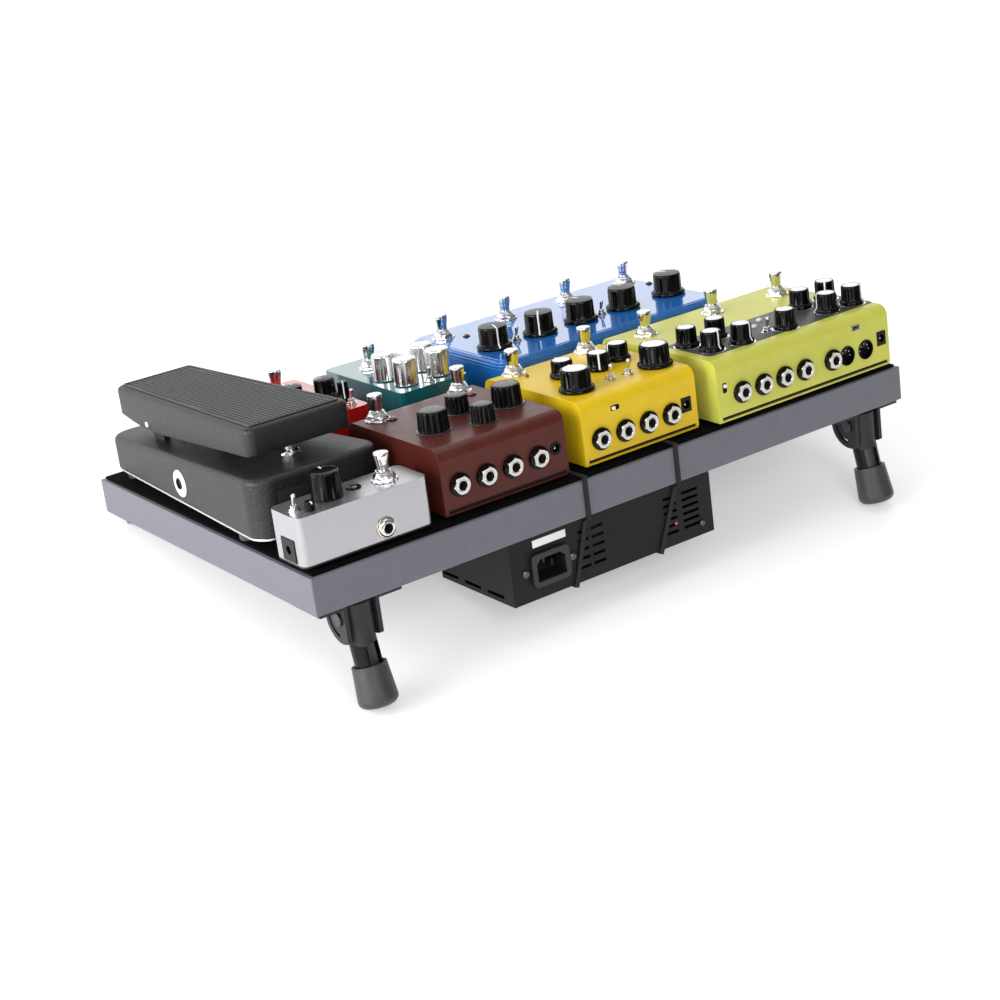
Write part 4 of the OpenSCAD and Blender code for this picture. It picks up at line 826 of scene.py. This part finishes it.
def studio_light(nt):
    """White surroundings, brighter low down on the far and left sides, where the backdrop stands."""
    sky = nt.nodes["Background"]
    sky.inputs["Color"].default_value = (1.0, 1.0, 1.0, 1)
    tc = nt.nodes.new("ShaderNodeTexCoord")
    split = nt.nodes.new("ShaderNodeSeparateXYZ")
    nt.links.new(tc.outputs["Generated"], split.inputs["Vector"])

    def ramp(axis, a, b, lo, hi):
        m = nt.nodes.new("ShaderNodeMapRange")
        m.inputs["From Min"].default_value, m.inputs["From Max"].default_value = a, b
        m.inputs["To Min"].default_value, m.inputs["To Max"].default_value = lo, hi
        nt.links.new(split.outputs[axis], m.inputs["Value"])
        return m.outputs["Result"]

    def both(a, b, op):
        m = nt.nodes.new("ShaderNodeMath")
        m.operation = op
        nt.links.new(a, m.inputs[0])
        nt.links.new(b, m.inputs[1])
        return m.outputs["Value"]

    low = ramp("Z", 0.2, 0.85, 1.0, 0.0)
    sides = both(ramp("Y", -0.1, 0.6, 0.0, 1.25), ramp("X", -0.2, -0.8, 0.0, 1.6), "ADD")
    base = ramp("Z", 0.0, 1.0, 0.10, 0.45)
    nt.links.new(both(base, both(low, sides, "MULTIPLY"), "ADD"), sky.inputs["Strength"])


world = bpy.data.worlds.new("studio")
scene.world = world
world.use_nodes = True
studio_light(world.node_tree)
scene.view_settings.view_transform = "Standard"


def softbox(name, place, target, size, power):
    l = bpy.data.lights.new(name, "AREA")
    l.energy = power
    l.size = size
    o = bpy.data.objects.new(name, l)
    scene.collection.objects.link(o)
    o.location = place
    o.rotation_euler = (Vector(target) - Vector(place)).to_track_quat("-Z", "Y").to_euler()


mid = Vector((0, 0, 0.08))
softbox("left", (-2.0, 0.1, 0.75), mid, 1.3, 34)
softbox("near", (-0.7, -1.9, 1.5), mid, 1.1, 17)
softbox("top", (0.3, 0.5, 2.0), mid, 1.6, 10)

# the viewer stands near and to the left; place in mm and directions are in the deck frame
CAMERA_AT = Vector((-519.473, -1034.718, 442.762))
cam = bpy.data.objects.new("camera", bpy.data.cameras.new("camera"))
scene.collection.objects.link(cam)
right = Vector((0.810073, -0.572652, -0.125900))
down = Vector((-0.273324, -0.178848, -0.945149))
ahead = Vector((0.518725, 0.800052, -0.301400))
turn = Matrix((U, V, W)).transposed()
cam.matrix_world = (Matrix.Translation(DECK @ CAMERA_AT)
                    @ Matrix((turn @ right, turn @ -down, turn @ -ahead)).transposed().to_4x4())
cam.data.lens = 71.23
cam.data.sensor_width = 36
cam.data.shift_x = 0.0029
cam.data.shift_y = -0.0670
cam.data.clip_start = 0.05
scene.camera = cam
